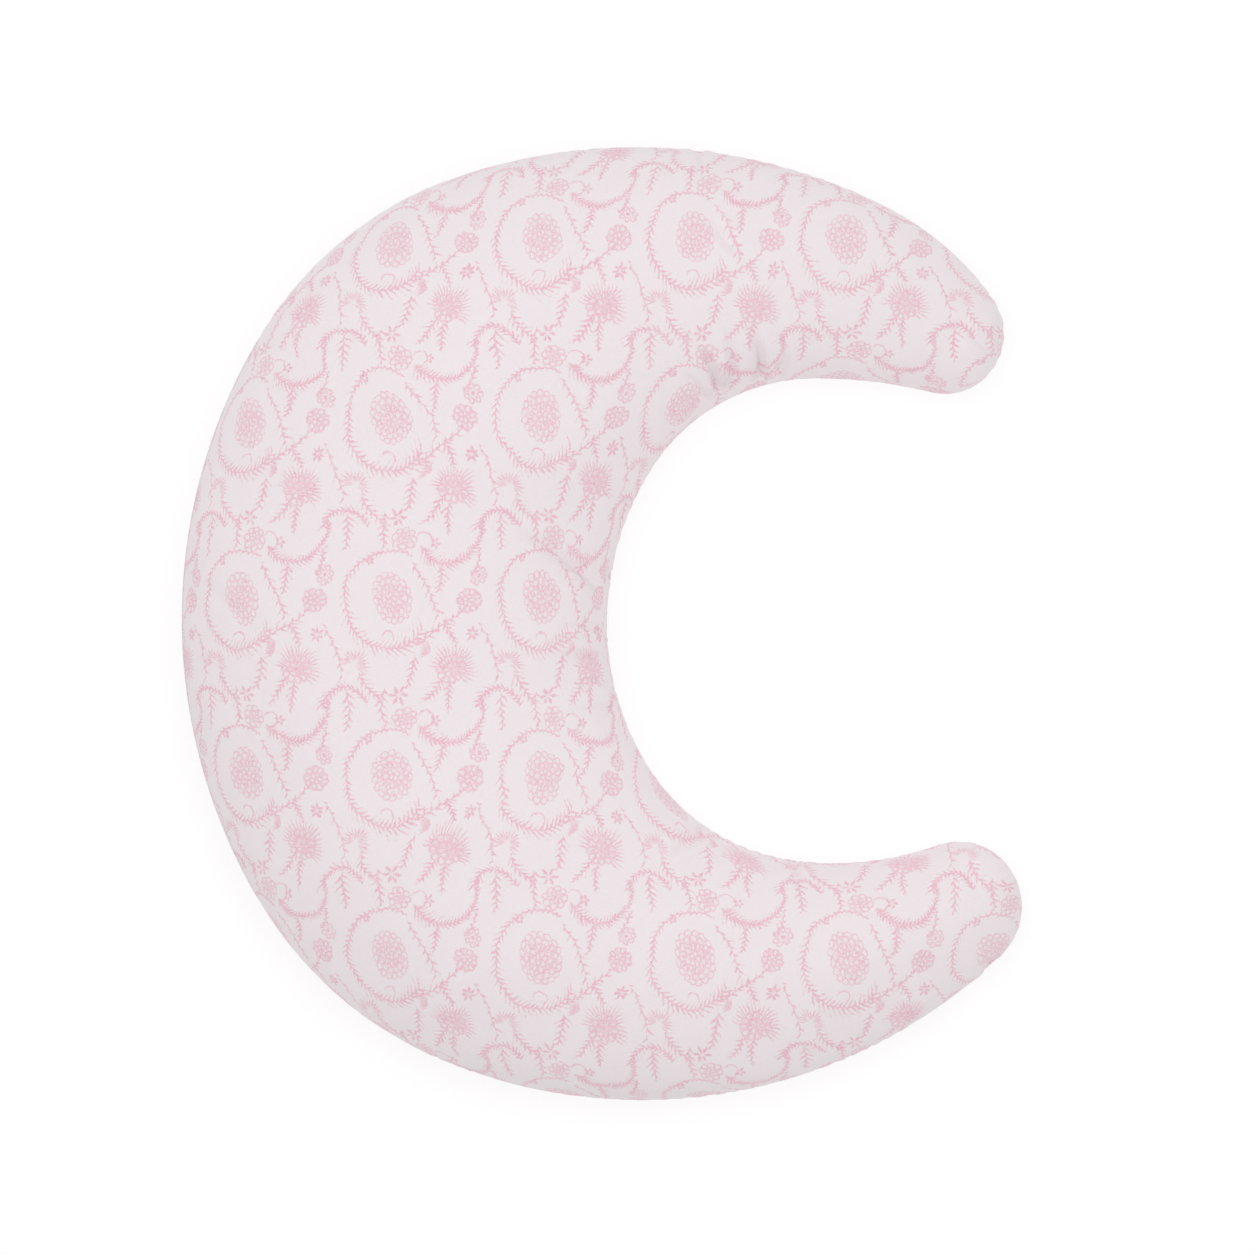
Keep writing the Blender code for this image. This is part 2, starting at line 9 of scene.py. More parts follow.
import bpy
import numpy as np
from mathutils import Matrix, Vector


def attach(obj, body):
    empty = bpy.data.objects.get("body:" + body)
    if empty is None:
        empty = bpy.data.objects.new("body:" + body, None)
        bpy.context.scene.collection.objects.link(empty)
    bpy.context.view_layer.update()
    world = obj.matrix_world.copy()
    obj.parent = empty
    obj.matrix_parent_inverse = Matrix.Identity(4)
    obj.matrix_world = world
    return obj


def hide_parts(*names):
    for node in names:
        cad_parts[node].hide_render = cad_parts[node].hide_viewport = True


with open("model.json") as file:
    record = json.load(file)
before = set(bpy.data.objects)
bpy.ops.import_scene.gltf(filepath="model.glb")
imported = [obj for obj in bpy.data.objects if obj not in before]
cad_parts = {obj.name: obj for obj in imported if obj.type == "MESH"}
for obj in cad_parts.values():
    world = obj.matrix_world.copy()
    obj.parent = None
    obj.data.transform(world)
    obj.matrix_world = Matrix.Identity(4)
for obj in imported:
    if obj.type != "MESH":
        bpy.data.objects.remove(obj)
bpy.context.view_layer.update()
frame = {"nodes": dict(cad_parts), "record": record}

MM = 0.001
UP = np.array((0.0, 0.0, 1.0))

# ---------------------------------------------------------------- outline, as the frame has it
BACK_POINT = (-264.15, 3.0)
WAIST_POINT = (2.55, 0.6)
ZIP_ARC_RADIUS = 346.0
UPPER_OUTER = [(ZIP_ARC_RADIUS, 31.0), (230, 39.5), (348, 46.5), (181, 27.7), (38.4, 98.8)]
UPPER_INNER = [(180, 32.9), (122, 56.3), (300, 14.2), (-38.4, 39.2)]
LOWER_OUTER = [(ZIP_ARC_RADIUS, 31.0), (242, 36.5), (327, 51.5), (323, 14.8), (42.3, 99.4)]
LOWER_INNER = [(169, 32.3), (129, 51.3), (196, 25.5), (-42.3, 54.1)]

FULL_WIDTH = 255 * MM
HORN_WIDTH = 77 * MM
HALF_HEIGHT = 72.5 * MM
SLIMMING = 0.52
TIP_ROUNDNESS = 0.56
TIP_BLEND = 6
CROWN_RISE = 1.08
TIP_CROWDING = 0.1
SEAM_LEVEL = 0.93
ZIP_LEVEL = SEAM_LEVEL * HALF_HEIGHT
ZIP_CENTRE = np.array(((BACK_POINT[0] + ZIP_ARC_RADIUS) * MM, BACK_POINT[1] * MM, ZIP_LEVEL))


class Edge:
    """One edge of the C, a chain of tangent arcs walked from the back to the horn's tip."""

    def __init__(self, start, arcs, stuffing, mirror):
        self.stuffing = stuffing
        self.mirror = mirror
        self.arcs = []
        self.length = 0.0
        x, y = start[0] * MM, start[1] * mirror * MM
        heading = math.pi / 2
        for radius_mm, sweep_degrees in arcs:
            radius = radius_mm * MM
            sweep = math.radians(sweep_degrees)
            centre = (x + radius * math.sin(heading), y - radius * math.cos(heading))
            self.arcs.append((self.length, centre, radius, heading))
            self.length += abs(radius) * sweep
            heading -= math.copysign(sweep, radius)
            x = centre[0] - radius * math.sin(heading)
            y = centre[1] + radius * math.cos(heading)

    def place(self, distances, inset=0.0):
        """Points at distances along the edge, moved towards the stuffing by the inset."""
        points = np.zeros((len(distances), 3))
        for first, centre, radius, heading in self.arcs:
            there = distances >= first
            turned = heading - (distances[there] - first) / radius
            reach = radius - self.stuffing * inset
            points[there, 0] = centre[0] - reach * np.sin(turned)
            points[there, 1] = (centre[1] + reach * np.cos(turned)) * self.mirror
        return points


class Half:
    """One horn: its outer and inner edge, walked together."""

    def __init__(self, outer, inner, mirror):
        self.outer = Edge(BACK_POINT, outer, 1, mirror)
        self.inner = Edge(WAIST_POINT, inner, -1, mirror)

    def rails(self, fractions, inset=0.0):
        outer = self.outer.place(fractions * self.outer.length, inset)
        inner = self.inner.place(fractions * self.inner.length, inset)
        outer_end = self.outer.place(np.array([self.outer.length]), inset)
        inner_end = self.inner.place(np.array([self.inner.length]), inset)
        miss = outer_end - inner_end
        first = self.inner.arcs[-1][0] / self.inner.length
        ease = np.clip((fractions - first) / (1 - first), 0, 1)
        return outer, inner + miss * ease[:, None]

    def fractions(self, count):
        """Stations from the back to just short of the tip, closer together round the tip."""
        steps = np.linspace(0, 1, count + 1)[:-1]
        return steps + TIP_CROWDING * np.sin(math.pi * steps) * steps


UPPER = Half(UPPER_OUTER, UPPER_INNER, 1)
LOWER = Half(LOWER_OUTER, LOWER_INNER, -1)

# ---------------------------------------------------------------- cloth layers
STATIONS = 240
ACROSS = 84
PANEL_GAP = 0.12 * MM
ZIP_MOUTH = 4.3 * MM
MOUTH_END = 30.2
MOUTH_CLOSED = 31.4
BASE_SOFTNESS = 2 * MM
TOUCH_SOFTNESS = 0.5 * MM
TURN_INS = (0.3, 0.7, 1.5, 2.8, 4.4)
TURN_INS_SEWN = (0.2, 0.5, 0.8, 1.15, 1.5)
TURN_IN_ROOM = 22 * MM
COVER_CLOTH = 0.45 * MM
FLAT_SPAN = 0.76

# Inner layers: (inset in plan, inset in height, lowest level).
COVER_LAYER = (0.0, 0.0, 0.0)
LABEL_LAYER = (4.5 * MM, 1.3 * MM, 1.1 * MM)
CASE_LAYER = (8.5 * MM, 2.4 * MM, 1.3 * MM)
FILL_LAYER = (15 * MM, 4.0 * MM, 2.7 * MM)


def smooth(x):
    x = np.clip(x, 0, 1)
    return x * x * (3 - 2 * x)


def bell(x, width):
    return np.exp(-(x / width) ** 2)


def seam_level(width):
    share = np.clip(width, HORN_WIDTH, FULL_WIDTH) / FULL_WIDTH
    return SEAM_LEVEL * HALF_HEIGHT * share ** SLIMMING


def above(level, z, softness):
    """Heights kept above a level, with a soft bend where they meet it."""
    z = z - level
    return level + (z + np.sqrt(z * z + softness ** 2)) / 2


class Walk:
    """Sections of one layer, from the lower horn's tip to the upper horn's tip."""

    def __init__(self, stations, layer):
        inset, lowering, self.lowest = layer
        rows = []
        for half, order in ((LOWER, -1), (UPPER, 1)):
            fractions = half.fractions(stations)
            outer, inner = half.rails(fractions)
            width = np.linalg.norm(outer - inner, axis=1)
            level = seam_level(width)
            body = level / SEAM_LEVEL
            tip = TIP_ROUNDNESS * width
            height = (body ** -TIP_BLEND + tip ** -TIP_BLEND) ** (-1 / TIP_BLEND)
            height = height - lowering * np.clip(2 * height / HORN_WIDTH, 0, 1)
            outer, inner = half.rails(fractions, inset)
            angle = np.degrees(fractions * half.outer.length / (ZIP_ARC_RADIUS * MM)) * half.outer.mirror
            rows.append([part[::order] for part in (outer, inner, level, height, angle)])
        joined = [np.concatenate((a[:-1], b)) for a, b in zip(*rows)]
        self.outer, self.inner, self.level, self.height, self.angle = joined
        self.middle = (self.outer + self.inner) / 2
        self.half = (self.outer - self.inner) / 2
        self.width = 2 * np.linalg.norm(self.half, axis=1)
        self.open = smooth((MOUTH_CLOSED - np.abs(self.angle)) / (MOUTH_CLOSED - MOUTH_END))
        tips = [half.outer.place(np.array([half.outer.length]), inset)[0] for half in (LOWER, UPPER)]
        self.tips = [tip + UP * self.level[row] for tip, row in zip(tips, (0, -1))]

    def across(self):
        return self.half / np.linalg.norm(self.half, axis=1)[:, None]


def crown(walk, side, mouth, across):
    """Points of a layer over the crown (side 1) or round the base (side -1), outer edge first."""
    low = np.arcsin(np.clip(mouth / walk.height, 0, 0.9))
    high = math.pi - np.arcsin(np.clip(PANEL_GAP / walk.height, 0, 0.9))
    angle = low[:, None] + (high - low)[:, None] * np.linspace(0, 1, across + 1)
    rise = np.sin(angle) * walk.height[:, None] * (CROWN_RISE if side > 0 else -1.0)
    points = walk.middle[:, None] + walk.half[:, None] * np.cos(angle)[:, :, None]
    points[:, :, 2] = above(walk.lowest, walk.level[:, None] + rise, BASE_SOFTNESS)
    return points


def steps_along(points, axis):
    """Distance run along one direction of a grid, from its start."""
    step = np.linalg.norm(np.diff(points, axis=axis), axis=2)
    return np.insert(np.cumsum(step, axis=axis), 0, 0.0, axis=axis)


def from_edges(points):
    """Distances over the cloth from the outer and from the inner seam."""
    run = steps_along(points, 1)
    return run, run[:, -1:] - run


def flat_cut(walk, points, mirrored):
    """Where each point of a stuffed panel lay on the flat cloth."""
    run = steps_along(points, 1)
    middle = points.shape[1] // 2
    spread = run[:, middle:middle + 1] - run
    ridge = points[:, middle]
    path = np.linalg.norm(np.diff(ridge, axis=0), axis=1)
    plan = np.linalg.norm(np.diff(ridge[:, :2], axis=0), axis=1)
    spare = np.insert(np.cumsum(path - plan), 0, 0.0)
    spare -= spare[len(spare) // 2]
    along = np.gradient(ridge, axis=0)
    along[:, 2] = 0
    along /= np.linalg.norm(along, axis=1)[:, None]
    spine = walk.middle + along * spare[:, None]
    flat = spine[:, None] + walk.across()[:, None] * spread[:, :, None]
    flat = flat[:, :, :2].copy()
    if mirrored:
        flat[:, :, 0] *= -1
    return flat


def outward(points, side):
    """Unit normals of a grid, pointing away from the stuffing."""
    normal = np.cross(np.gradient(points, axis=0), np.gradient(points, axis=1))
    normal /= np.maximum(np.linalg.norm(normal, axis=2), 1e-12)[:, :, None]
    middle = normal[normal.shape[0] // 2, normal.shape[1] // 2]
    return normal if middle[2] * side > 0 else -normal


# ---------------------------------------------------------------- stuffing pressure
SIM_STATIONS = STATIONS // 2
SIM_ACROSS = ACROSS // 2
SIM_FRAMES = 20
PRESSURE = 4.0
CUT_SHARE = 0.35
SWELL_CAP = 5 * MM
SEAM_HOLD = 14 * MM
CLOTH_QUALITY = 5
CLOTH_MASS = 0.15
CLOTH_BENDING = 0.3


def ring_grid(top, base):
    """One closed skin from a top and a base grid, whose edges meet at the seams."""
    return np.concatenate((top, base[:, -2:0:-1]), axis=1)


def halfway(field):
    """A field with a smoothly read row between each two rows."""
    wide = np.concatenate((field[:1], field, field[-1:]))
    result = np.empty((2 * len(field) - 1,) + field.shape[1:])
    result[::2] = field
    result[1::2] = (9 * (field[:-1] + field[1:]) - (wide[:-3] + wide[3:])) / 16
    return result


def finer(field):
    """A coarse grid's field on the fine grid, and nothing at the very tips."""
    field = halfway(halfway(field).transpose(1, 0, 2)).transpose(1, 0, 2)
    return np.pad(field, ((1, 1), (0, 0), (0, 0)))


def tube_faces(rings, columns):
    corner = np.arange(rings * columns).reshape(rings, columns)
    wrapped = np.concatenate((corner, corner[:, :1]), axis=1)
    quads = np.stack((wrapped[:-1, :-1], wrapped[:-1, 1:], wrapped[1:, 1:], wrapped[1:, :-1]), axis=-1)
    return quads.reshape(-1, 4), wrapped


def closed_skin(name, rings, tips):
    """Mesh of a closed skin: rings round the stuffing, closed on a point at each horn's tip."""
    count, columns = rings.shape[:2]
    quads, wrapped = tube_faces(count, columns)
    faces = quads.tolist()
    for pole, ring in enumerate((wrapped[0], wrapped[-1][::-1])):
        faces += [[int(b), int(a), count * columns + pole] for a, b in zip(ring[:-1], ring[1:])]
    mesh = bpy.data.meshes.new(name)
    mesh.from_pydata(np.vstack((rings.reshape(-1, 3), np.array(tips))).tolist(), [], faces)
    mesh.update()
    if signed_volume(mesh) < 0:
        mesh.flip_normals()
    mesh.shade_smooth()
    return mesh


def signed_volume(mesh):
    mesh.calc_loop_triangles()
    points = np.empty(len(mesh.vertices) * 3)
    mesh.vertices.foreach_get("co", points)
    corners = np.empty(len(mesh.loop_triangles) * 3, np.int32)
    mesh.loop_triangles.foreach_get("vertices", corners)
    a, b, c = points.reshape(-1, 3)[corners.reshape(-1, 3)].transpose(1, 0, 2)
    return np.einsum("ij,ij->i", a, np.cross(b, c)).sum() / 6


def swelling():
    """How stuffing under pressure moves cloth cut flat: offsets of the fine top and base grids."""
    walk = Walk(SIM_STATIONS, COVER_LAYER)
    closed = np.full(len(walk.angle), PANEL_GAP)
    top, base = (crown(walk, side, closed, SIM_ACROSS) for side in (1, -1))
    rings = ring_grid(top, base)
    cut = ring_grid(*(flat_cut(walk, grid, False) for grid in (top, base)))
    skin = bpy.data.objects.new("cloth_under_pressure", closed_skin("cloth_under_pressure", rings, walk.tips))
    bpy.context.scene.collection.objects.link(skin)
    start = np.empty(len(skin.data.vertices) * 3)
    skin.data.vertices.foreach_get("co", start)
    resting = start.reshape(-1, 3).copy()
    pull = cut.reshape(-1, 2) - rings[:, :, :2].reshape(-1, 2)
    resting[:len(pull), :2] += CUT_SHARE * pull
    resting[:, 2] += CUT_SHARE * (ZIP_LEVEL - resting[:, 2])
    skin.shape_key_add(name="stuffed")
    cut_key = skin.shape_key_add(name="flat_cut")
    cut_key.data.foreach_set("co", resting.ravel())
    held = skin.vertex_groups.new(name="seams")
    columns = rings.shape[1]
    pinned = [row * columns + column for row in range(len(rings)) for column in (0, SIM_ACROSS)]
    pinned += list(range(columns)) + list(range((len(rings) - 1) * columns, len(rings) * columns + 2))
    held.add(pinned, 1.0, "REPLACE")
    cloth = skin.modifiers.new("Cloth", "CLOTH")
    cloth.point_cache.frame_end = SIM_FRAMES
    settings = cloth.settings
    settings.quality = CLOTH_QUALITY
    settings.mass = CLOTH_MASS
    settings.use_pressure = True
    settings.uniform_pressure_force = PRESSURE
    settings.effector_weights.gravity = 0
    settings.bending_stiffness = CLOTH_BENDING
    settings.vertex_group_mass = "seams"
    settings.rest_shape_key = cut_key
    cloth.collision_settings.use_collision = False
    scene = bpy.context.scene
    for number in range(1, SIM_FRAMES + 1):
        scene.frame_set(number)
    settled = skin.evaluated_get(bpy.context.evaluated_depsgraph_get()).to_mesh()
    end = np.empty(len(settled.vertices) * 3)
    settled.vertices.foreach_get("co", end)
    scene.frame_set(1)
    bpy.data.objects.remove(skin)
    move = (end - start).reshape(-1, 3)[:rings.shape[0] * columns].reshape(rings.shape)
    size = np.linalg.norm(move, axis=2)[:, :, None]
    move *= SWELL_CAP * np.tanh(size / SWELL_CAP) / np.maximum(size, 1e-9)
    top_move = move[:, :SIM_ACROSS + 1]
    base_move = np.concatenate((move[:, :1], move[:, :SIM_ACROSS - 1:-1]), axis=1)
    return finer(top_move), finer(base_move)


# ---------------------------------------------------------------- wrinkles
# Creases of the upper side, in mm in plan: (from, to, depth, width).
CREASES = [
    ((-7, 27), (-66, 66), 4.4, 2.7),
    ((4, 30), (-38, 38), 1.6, 2.6),
    ((-20, 44), (-52, 72), 1.4, 3.4),
    ((71, 149), (57, 178), 4.6, 2.3),
    ((79, 154), (74, 192), 2.6, 2.2),
    ((98, 157), (91, 190), 4.6, 2.3),
    ((110, 159), (112, 178), 2.2, 2.2),
    ((62, 142), (44, 160), 2.2, 2.4),
    ((72, 246), (98, 220), 2.4, 3.4),
    ((60, 300), (66, 266), 1.6, 2.8),
    ((-3, -4), (-30, -2), 1.5, 2.2),
    ((-2, -22), (-38, -20), 2.0, 2.4),
    ((0, -38), (-26, -37), 1.4, 2.2),
    ((2, -53), (-32, -58), 1.7, 2.4),
    ((240, 172), (220, 184), 2.0, 2.4),
    ((248, -214), (226, -222), 2.4, 2.6),
    ((120, -152), (130, -178), 1.8, 2.6),
    ((60, -132), (38, -152), 1.7, 2.6),
]
SOFT_WAVE = 0.9 * MM
WAVE_PITCH = 130 * MM
WAVE_REACH = 50 * MM
RIPPLE_SHARE = 0.35
RIPPLE_PITCH = 42 * MM
RIPPLE_REACH = 20 * MM
PUCKER = 0.42 * MM
PUCKER_REACH = 11 * MM
PUCKER_PITCH = 10.5 * MM
SEAM_DIP = 0.8 * MM
SEAM_DIP_WIDTH = 2.6 * MM
STITCH_LINE = 6.8 * MM
STITCH_DIP = 0.45 * MM


def waves(points, seed, pitch, count=24):
    """Smooth irregular swell: sine waves of random direction and phase, about one high."""
    random = np.random.default_rng(seed)
    total = np.zeros(points.shape[:-1])
    for _ in range(count):
        direction = random.normal(size=3)
        direction /= np.linalg.norm(direction)
        length = pitch * random.uniform(0.6, 1.7)
        total += np.sin((points @ direction) * 2 * math.pi / length + random.uniform(0, 2 * math.pi))
    return total / math.sqrt(count / 2)


def crease_field(points):
    """Valleys with soft shoulders along the creases."""
    total = np.zeros(points.shape[:-1])
    plan = points[:, :, :2] / MM
    for start, end, depth, width in CREASES:
        start = np.array(start, float)
        run = np.array(end, float) - start
        length = np.linalg.norm(run)
        run /= length
        offset = plan - start
        along = offset @ run
        aside = offset @ np.array((-run[1], run[0])) + 1.6 * np.sin(along / length * 4.0)
        fade = smooth((along + 7) / 7) * smooth((length - along) / (length * 0.7))
        shoulders = 0.55 * bell(aside - 1.9 * width, width) + 0.4 * bell(aside + 2.1 * width, width)
        total += depth * MM * fade * (shoulders - bell(aside, width))
    return total


def pucker_field(points, along, distance, seed):
    """Gathers that die out away from the seam."""
    drift = waves(points, seed, 60 * MM) * 2.0
    strength = 0.55 + 0.45 * waves(points, seed + 1, 90 * MM)
    wave = np.sin(along / PUCKER_PITCH * 2 * math.pi + drift)
    sharper = wave * (1 - 0.25 * wave)
    return PUCKER * strength * sharper * np.exp(-distance / PUCKER_REACH) * smooth(distance / (2.5 * MM))


def wrinkle(points, walk, side, seed):
    """Moves a stuffed panel's points in and out as gathers, creases and soft swells do."""
    outer, inner = from_edges(points)
    nearest = np.minimum(outer, inner)
    zipped = walk.open[:, None]
    move = SOFT_WAVE * waves(points, seed, WAVE_PITCH) * smooth(nearest / WAVE_REACH)
    ripple = waves(points, seed + 5, RIPPLE_PITCH) * smooth(nearest / RIPPLE_REACH)
    move += RIPPLE_SHARE * SOFT_WAVE * ripple
    move += pucker_field(points, steps_along(points[:, :1], 0), outer, seed + 10) * (1 - 0.5 * zipped)
    move += 1.25 * pucker_field(points, steps_along(points[:, -1:], 0), inner, seed + 20)
    move -= SEAM_DIP * (bell(outer, SEAM_DIP_WIDTH) * (1 - zipped) + bell(inner, SEAM_DIP_WIDTH))
    move -= STITCH_DIP * bell(outer - (STITCH_LINE - ZIP_MOUTH), 1.2 * MM) * zipped
    if side > 0:
        move += crease_field(points)
    return points + outward(points, side) * move[:, :, None]


# ---------------------------------------------------------------- meshes
def grid_mesh(name, grid, flat, side, tips=()):
    """Quads through a grid of points, closed on a point at each horn's tip where there are tips."""
    rows, columns = grid.shape[:2]
    points = grid.reshape(-1, 3)
    cut = flat.reshape(-1, 2)
    corner = np.arange(rows * columns).reshape(rows, columns)
    quads = np.stack((corner[:-1, :-1], corner[:-1, 1:], corner[1:, 1:], corner[1:, :-1]), axis=-1)
    faces = quads.reshape(-1, 4).tolist()
    for tip, row in zip(tips, (0, -1)):
        points = np.vstack((points, tip))
        cut = np.vstack((cut, flat[row].mean(axis=0)))
        ring = corner[row][::1 if row == 0 else -1]
        faces += [[int(b), int(a), len(points) - 1] for a, b in zip(ring[:-1], ring[1:])]
    mesh = bpy.data.meshes.new(name)
    mesh.from_pydata(points.tolist(), [], faces)
    mesh.update()
    corners = np.zeros(len(mesh.loops), np.int32)
    mesh.loops.foreach_get("vertex_index", corners)
    layer = mesh.uv_layers.new(name="OFBake")
    layer.data.foreach_set("uv", (cut[corners] / FLAT_SPAN + 0.5).astype(np.float32).ravel())
    middle = mesh.polygons[(rows // 2) * (columns - 1) + columns // 2]
    if middle.normal.z * side < 0:
        mesh.flip_normals()
    mesh.shade_smooth()
    return mesh


def make_piece(name, mesh, material, replaces, body="pillow"):
    piece = bpy.data.objects.new(name, mesh)
    bpy.context.scene.collection.objects.link(piece)
    piece.data.materials.append(material)
    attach(piece, body)
    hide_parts(*replaces)
    return piece


def thicken(piece, thickness):
    wall = piece.modifiers.new("Cloth", "SOLIDIFY")
    wall.thickness = thickness
    wall.offset = -1.0


def flat_area(flat):
    a, b = flat[1:, 1:] - flat[:-1, :-1], flat[:-1, 1:] - flat[1:, :-1]
    return float(np.abs(a[:, :, 0] * b[:, :, 1] - a[:, :, 1] * b[:, :, 0]).sum() / 2)


def declare_sheet(flat):
    width, length = flat.reshape(-1, 2).max(axis=0) - flat.reshape(-1, 2).min(axis=0)
    flat_area(flat)


def add_turn_ins(walk, points, flat, side, sewn):
    """The cloth folded in at both edges of a panel, as rows beside the panel's own."""
    room = smooth(walk.width / TURN_IN_ROOM)[:, None]
    zipped = walk.open[:, None]
    inwards = -walk.across()
    plan = inwards[:, :2] * np.array((side, 1))
    near, far, near_flat, far_flat = [], [], [], []
    for unsewn_depth, sewn_depth in zip(TURN_INS, sewn):
        outer_depth = (sewn_depth + (unsewn_depth - sewn_depth) * zipped) * MM
        near.insert(0, points[:, 0] + inwards * outer_depth * room)
        far.append(points[:, -1] - inwards * sewn_depth * MM * room)
        near_flat.insert(0, flat[:, 0] - plan * outer_depth)
        far_flat.append(flat[:, -1] + plan * sewn_depth * MM)
    points = np.concatenate((np.stack(near, 1), points, np.stack(far, 1)), axis=1)
    flat = np.concatenate((np.stack(near_flat, 1), flat, np.stack(far_flat, 1)), axis=1)
    return points, flat


def make_cover_panel(side, seed, swell, material):
    """One printed panel of the cover; returns its walk, its surface and how far it moved."""
    walk = Walk(STATIONS, COVER_LAYER)
    mouth = PANEL_GAP + (ZIP_MOUTH - PANEL_GAP) * walk.open
    smooth_form = crown(walk, side, mouth, ACROSS)
    flat = flat_cut(walk, smooth_form, side < 0)
    outer, inner = from_edges(smooth_form)
    loose = smooth(np.minimum(outer, inner) / SEAM_HOLD)[:, :, None]
    surface = wrinkle(smooth_form + swell * loose, walk, side, seed)
    surface[:, :, 2] = above(0.0, surface[:, :, 2], TOUCH_SOFTNESS)
    points, flat = add_turn_ins(walk, surface, flat, side, TURN_INS_SEWN)
    tips = [tip + UP * side * PANEL_GAP for tip in walk.tips]
    which = "front" if side > 0 else "back"
    name = f"cover_{which}_cloth"
    mesh = grid_mesh(name, points, flat, side, tips)
    piece = make_piece(name, mesh, material, [f"cover_{which}_panel"])
    thicken(piece, COVER_CLOTH)
    declare_sheet(flat)
    return walk, surface, surface - smooth_form


def settled(move):
    """A coarser, calmer copy of how the cover moved, for the layers under it."""
    move = move[1:-1:2, ::2]
    for _ in range(2):
        wide = np.pad(move, ((1, 1), (1, 1), (0, 0)), mode="edge")
        beside = wide[:-2, 1:-1] + wide[2:, 1:-1] + wide[1:-1, :-2] + wide[1:-1, 2:]
        move = (beside + 2 * wide[1:-1, 1:-1]) / 6
    return move


def pressed_under(lower, upper, side, gap):
    """Keeps a layer under the one that covers it, by at least the gap."""
    normal = outward(upper, side)
    room = np.einsum("ijk,ijk->ij", upper - lower, normal)
    return lower - normal * np.maximum(gap - room, 0)[:, :, None]


CASE_CLOTH = 0.35 * MM
CASE_GAP = 1.2 * MM
FILL_GAP = 0.9 * MM
CASE_TURN_INS = (0.15, 0.3, 0.5, 0.75, 1.0)
LABEL_CLOTH = 0.15 * MM
LABEL_ARC = (-26.6, -21.0)
LABEL_ANGLES = (16.0, 46.0)
LUMP = 0.5 * MM
LUMP_HOLD = 6 * MM


def make_case_panel(side, move, cover, material):
    walk = Walk(SIM_STATIONS, CASE_LAYER)
    walk.open[:] = 0
    closed = np.full(len(walk.angle), PANEL_GAP)
    surface = crown(walk, side, closed, SIM_ACROSS)
    flat = flat_cut(walk, surface, side < 0)
    outer, inner = from_edges(surface)
    surface = surface + move * smooth(np.minimum(outer, inner) / SEAM_HOLD)[:, :, None]
    gathers = pucker_field(surface, steps_along(surface[:, :1], 0), outer, 71)
    gathers += pucker_field(surface, steps_along(surface[:, -1:], 0), inner, 83)
    surface += outward(surface, side) * 0.5 * gathers[:, :, None]
    surface = pressed_under(surface, cover[1:-1:2, ::2], side, CASE_GAP)
    surface[:, :, 2] = above(CASE_LAYER[2] - TOUCH_SOFTNESS / 2, surface[:, :, 2], TOUCH_SOFTNESS)
    points, flat = add_turn_ins(walk, surface, flat, side, CASE_TURN_INS)
    tips = [tip + UP * side * PANEL_GAP for tip in walk.tips]
    which = "front" if side > 0 else "back"
    name = f"case_{which}_cloth"
    mesh = grid_mesh(name, points, flat, side, tips)
    piece = make_piece(name, mesh, material, [f"inner_case_{which}"])
    thicken(piece, CASE_CLOTH)
    declare_sheet(flat)
    return surface


def make_fill(moves, cases, material):
    """The loose fibre, as one lumpy closed form."""
    walk = Walk(SIM_STATIONS, FILL_LAYER)
    closed = np.full(len(walk.angle), PANEL_GAP)
    grids = []
    for side, move, case in zip((1, -1), moves, cases):
        surface = crown(walk, side, closed, SIM_ACROSS)
        nearest = np.minimum(*from_edges(surface))
        surface = surface + move * smooth(nearest / SEAM_HOLD)[:, :, None]
        lumps = waves(surface, 91, 34 * MM) * 0.6 + waves(surface, 92, 14 * MM) * 0.4
        height = lumps * LUMP * smooth(nearest / LUMP_HOLD)
        surface += outward(surface, side) * height[:, :, None]
        surface = pressed_under(surface, case, side, FILL_GAP)
        surface[:, :, 2] = above(FILL_LAYER[2] - TOUCH_SOFTNESS / 2, surface[:, :, 2], TOUCH_SOFTNESS)
        grids.append(surface)
    mesh = closed_skin("fibre_stuffing", ring_grid(*grids), walk.tips)
    piece = make_piece("fibre_stuffing", mesh, material, ["fibre_fill"])


def read_rows(grid, places, wanted):
    """Rows of a grid read at wanted places between its own."""
    flat = grid.reshape(len(grid), -1)
    read = np.stack([np.interp(wanted, places, column) for column in flat.T], axis=1)
    return read.reshape((len(wanted),) + grid.shape[1:])


def make_label(material):
    """Blank care label, sewn in below the zip's lower end and lying between cover and case."""
    walk = Walk(STATIONS, LABEL_LAYER)
    base = crown(walk, -1, np.full(len(walk.angle), PANEL_GAP), 180)
    rows = read_rows(base, walk.angle, np.linspace(*LABEL_ARC, 25))
    degrees = np.linspace(0, 180, 181)
    label = read_rows(rows.transpose(1, 0, 2), degrees, np.linspace(*LABEL_ANGLES, 31))
    run, _ = from_edges(label)
    fall = steps_along(label, 0)
    flat = np.stack((run, fall), axis=2)
    curl = 0.25 * MM * np.sin(run / (5 * MM)) * np.sin(fall / (11 * MM))
    label = label - outward(label, -1) * curl[:, :, None]
    mesh = grid_mesh("blank_care_label", label, flat, -1)
    piece = make_piece("blank_care_label", mesh, material, ["care_label"])
    thicken(piece, LABEL_CLOTH)
    declare_sheet(flat)


# ---------------------------------------------------------------- zip and thread
COIL_END = 27.2
COIL_INSET = 4.55 * MM
COIL_OFFSET = 1.35 * MM
COIL_PITCH = 1.2 * MM
COIL_HALF_WIDTH = 0.68 * MM
COIL_HALF_DEPTH = 0.44 * MM
COIL_WIRE = 0.2 * MM
LOOP_STEPS = 10
STITCH_PITCH = 3.0 * MM
STITCH_LENGTH = 2.5 * MM
STITCH_THREAD = 0.2 * MM
STITCH_STEPS = 6


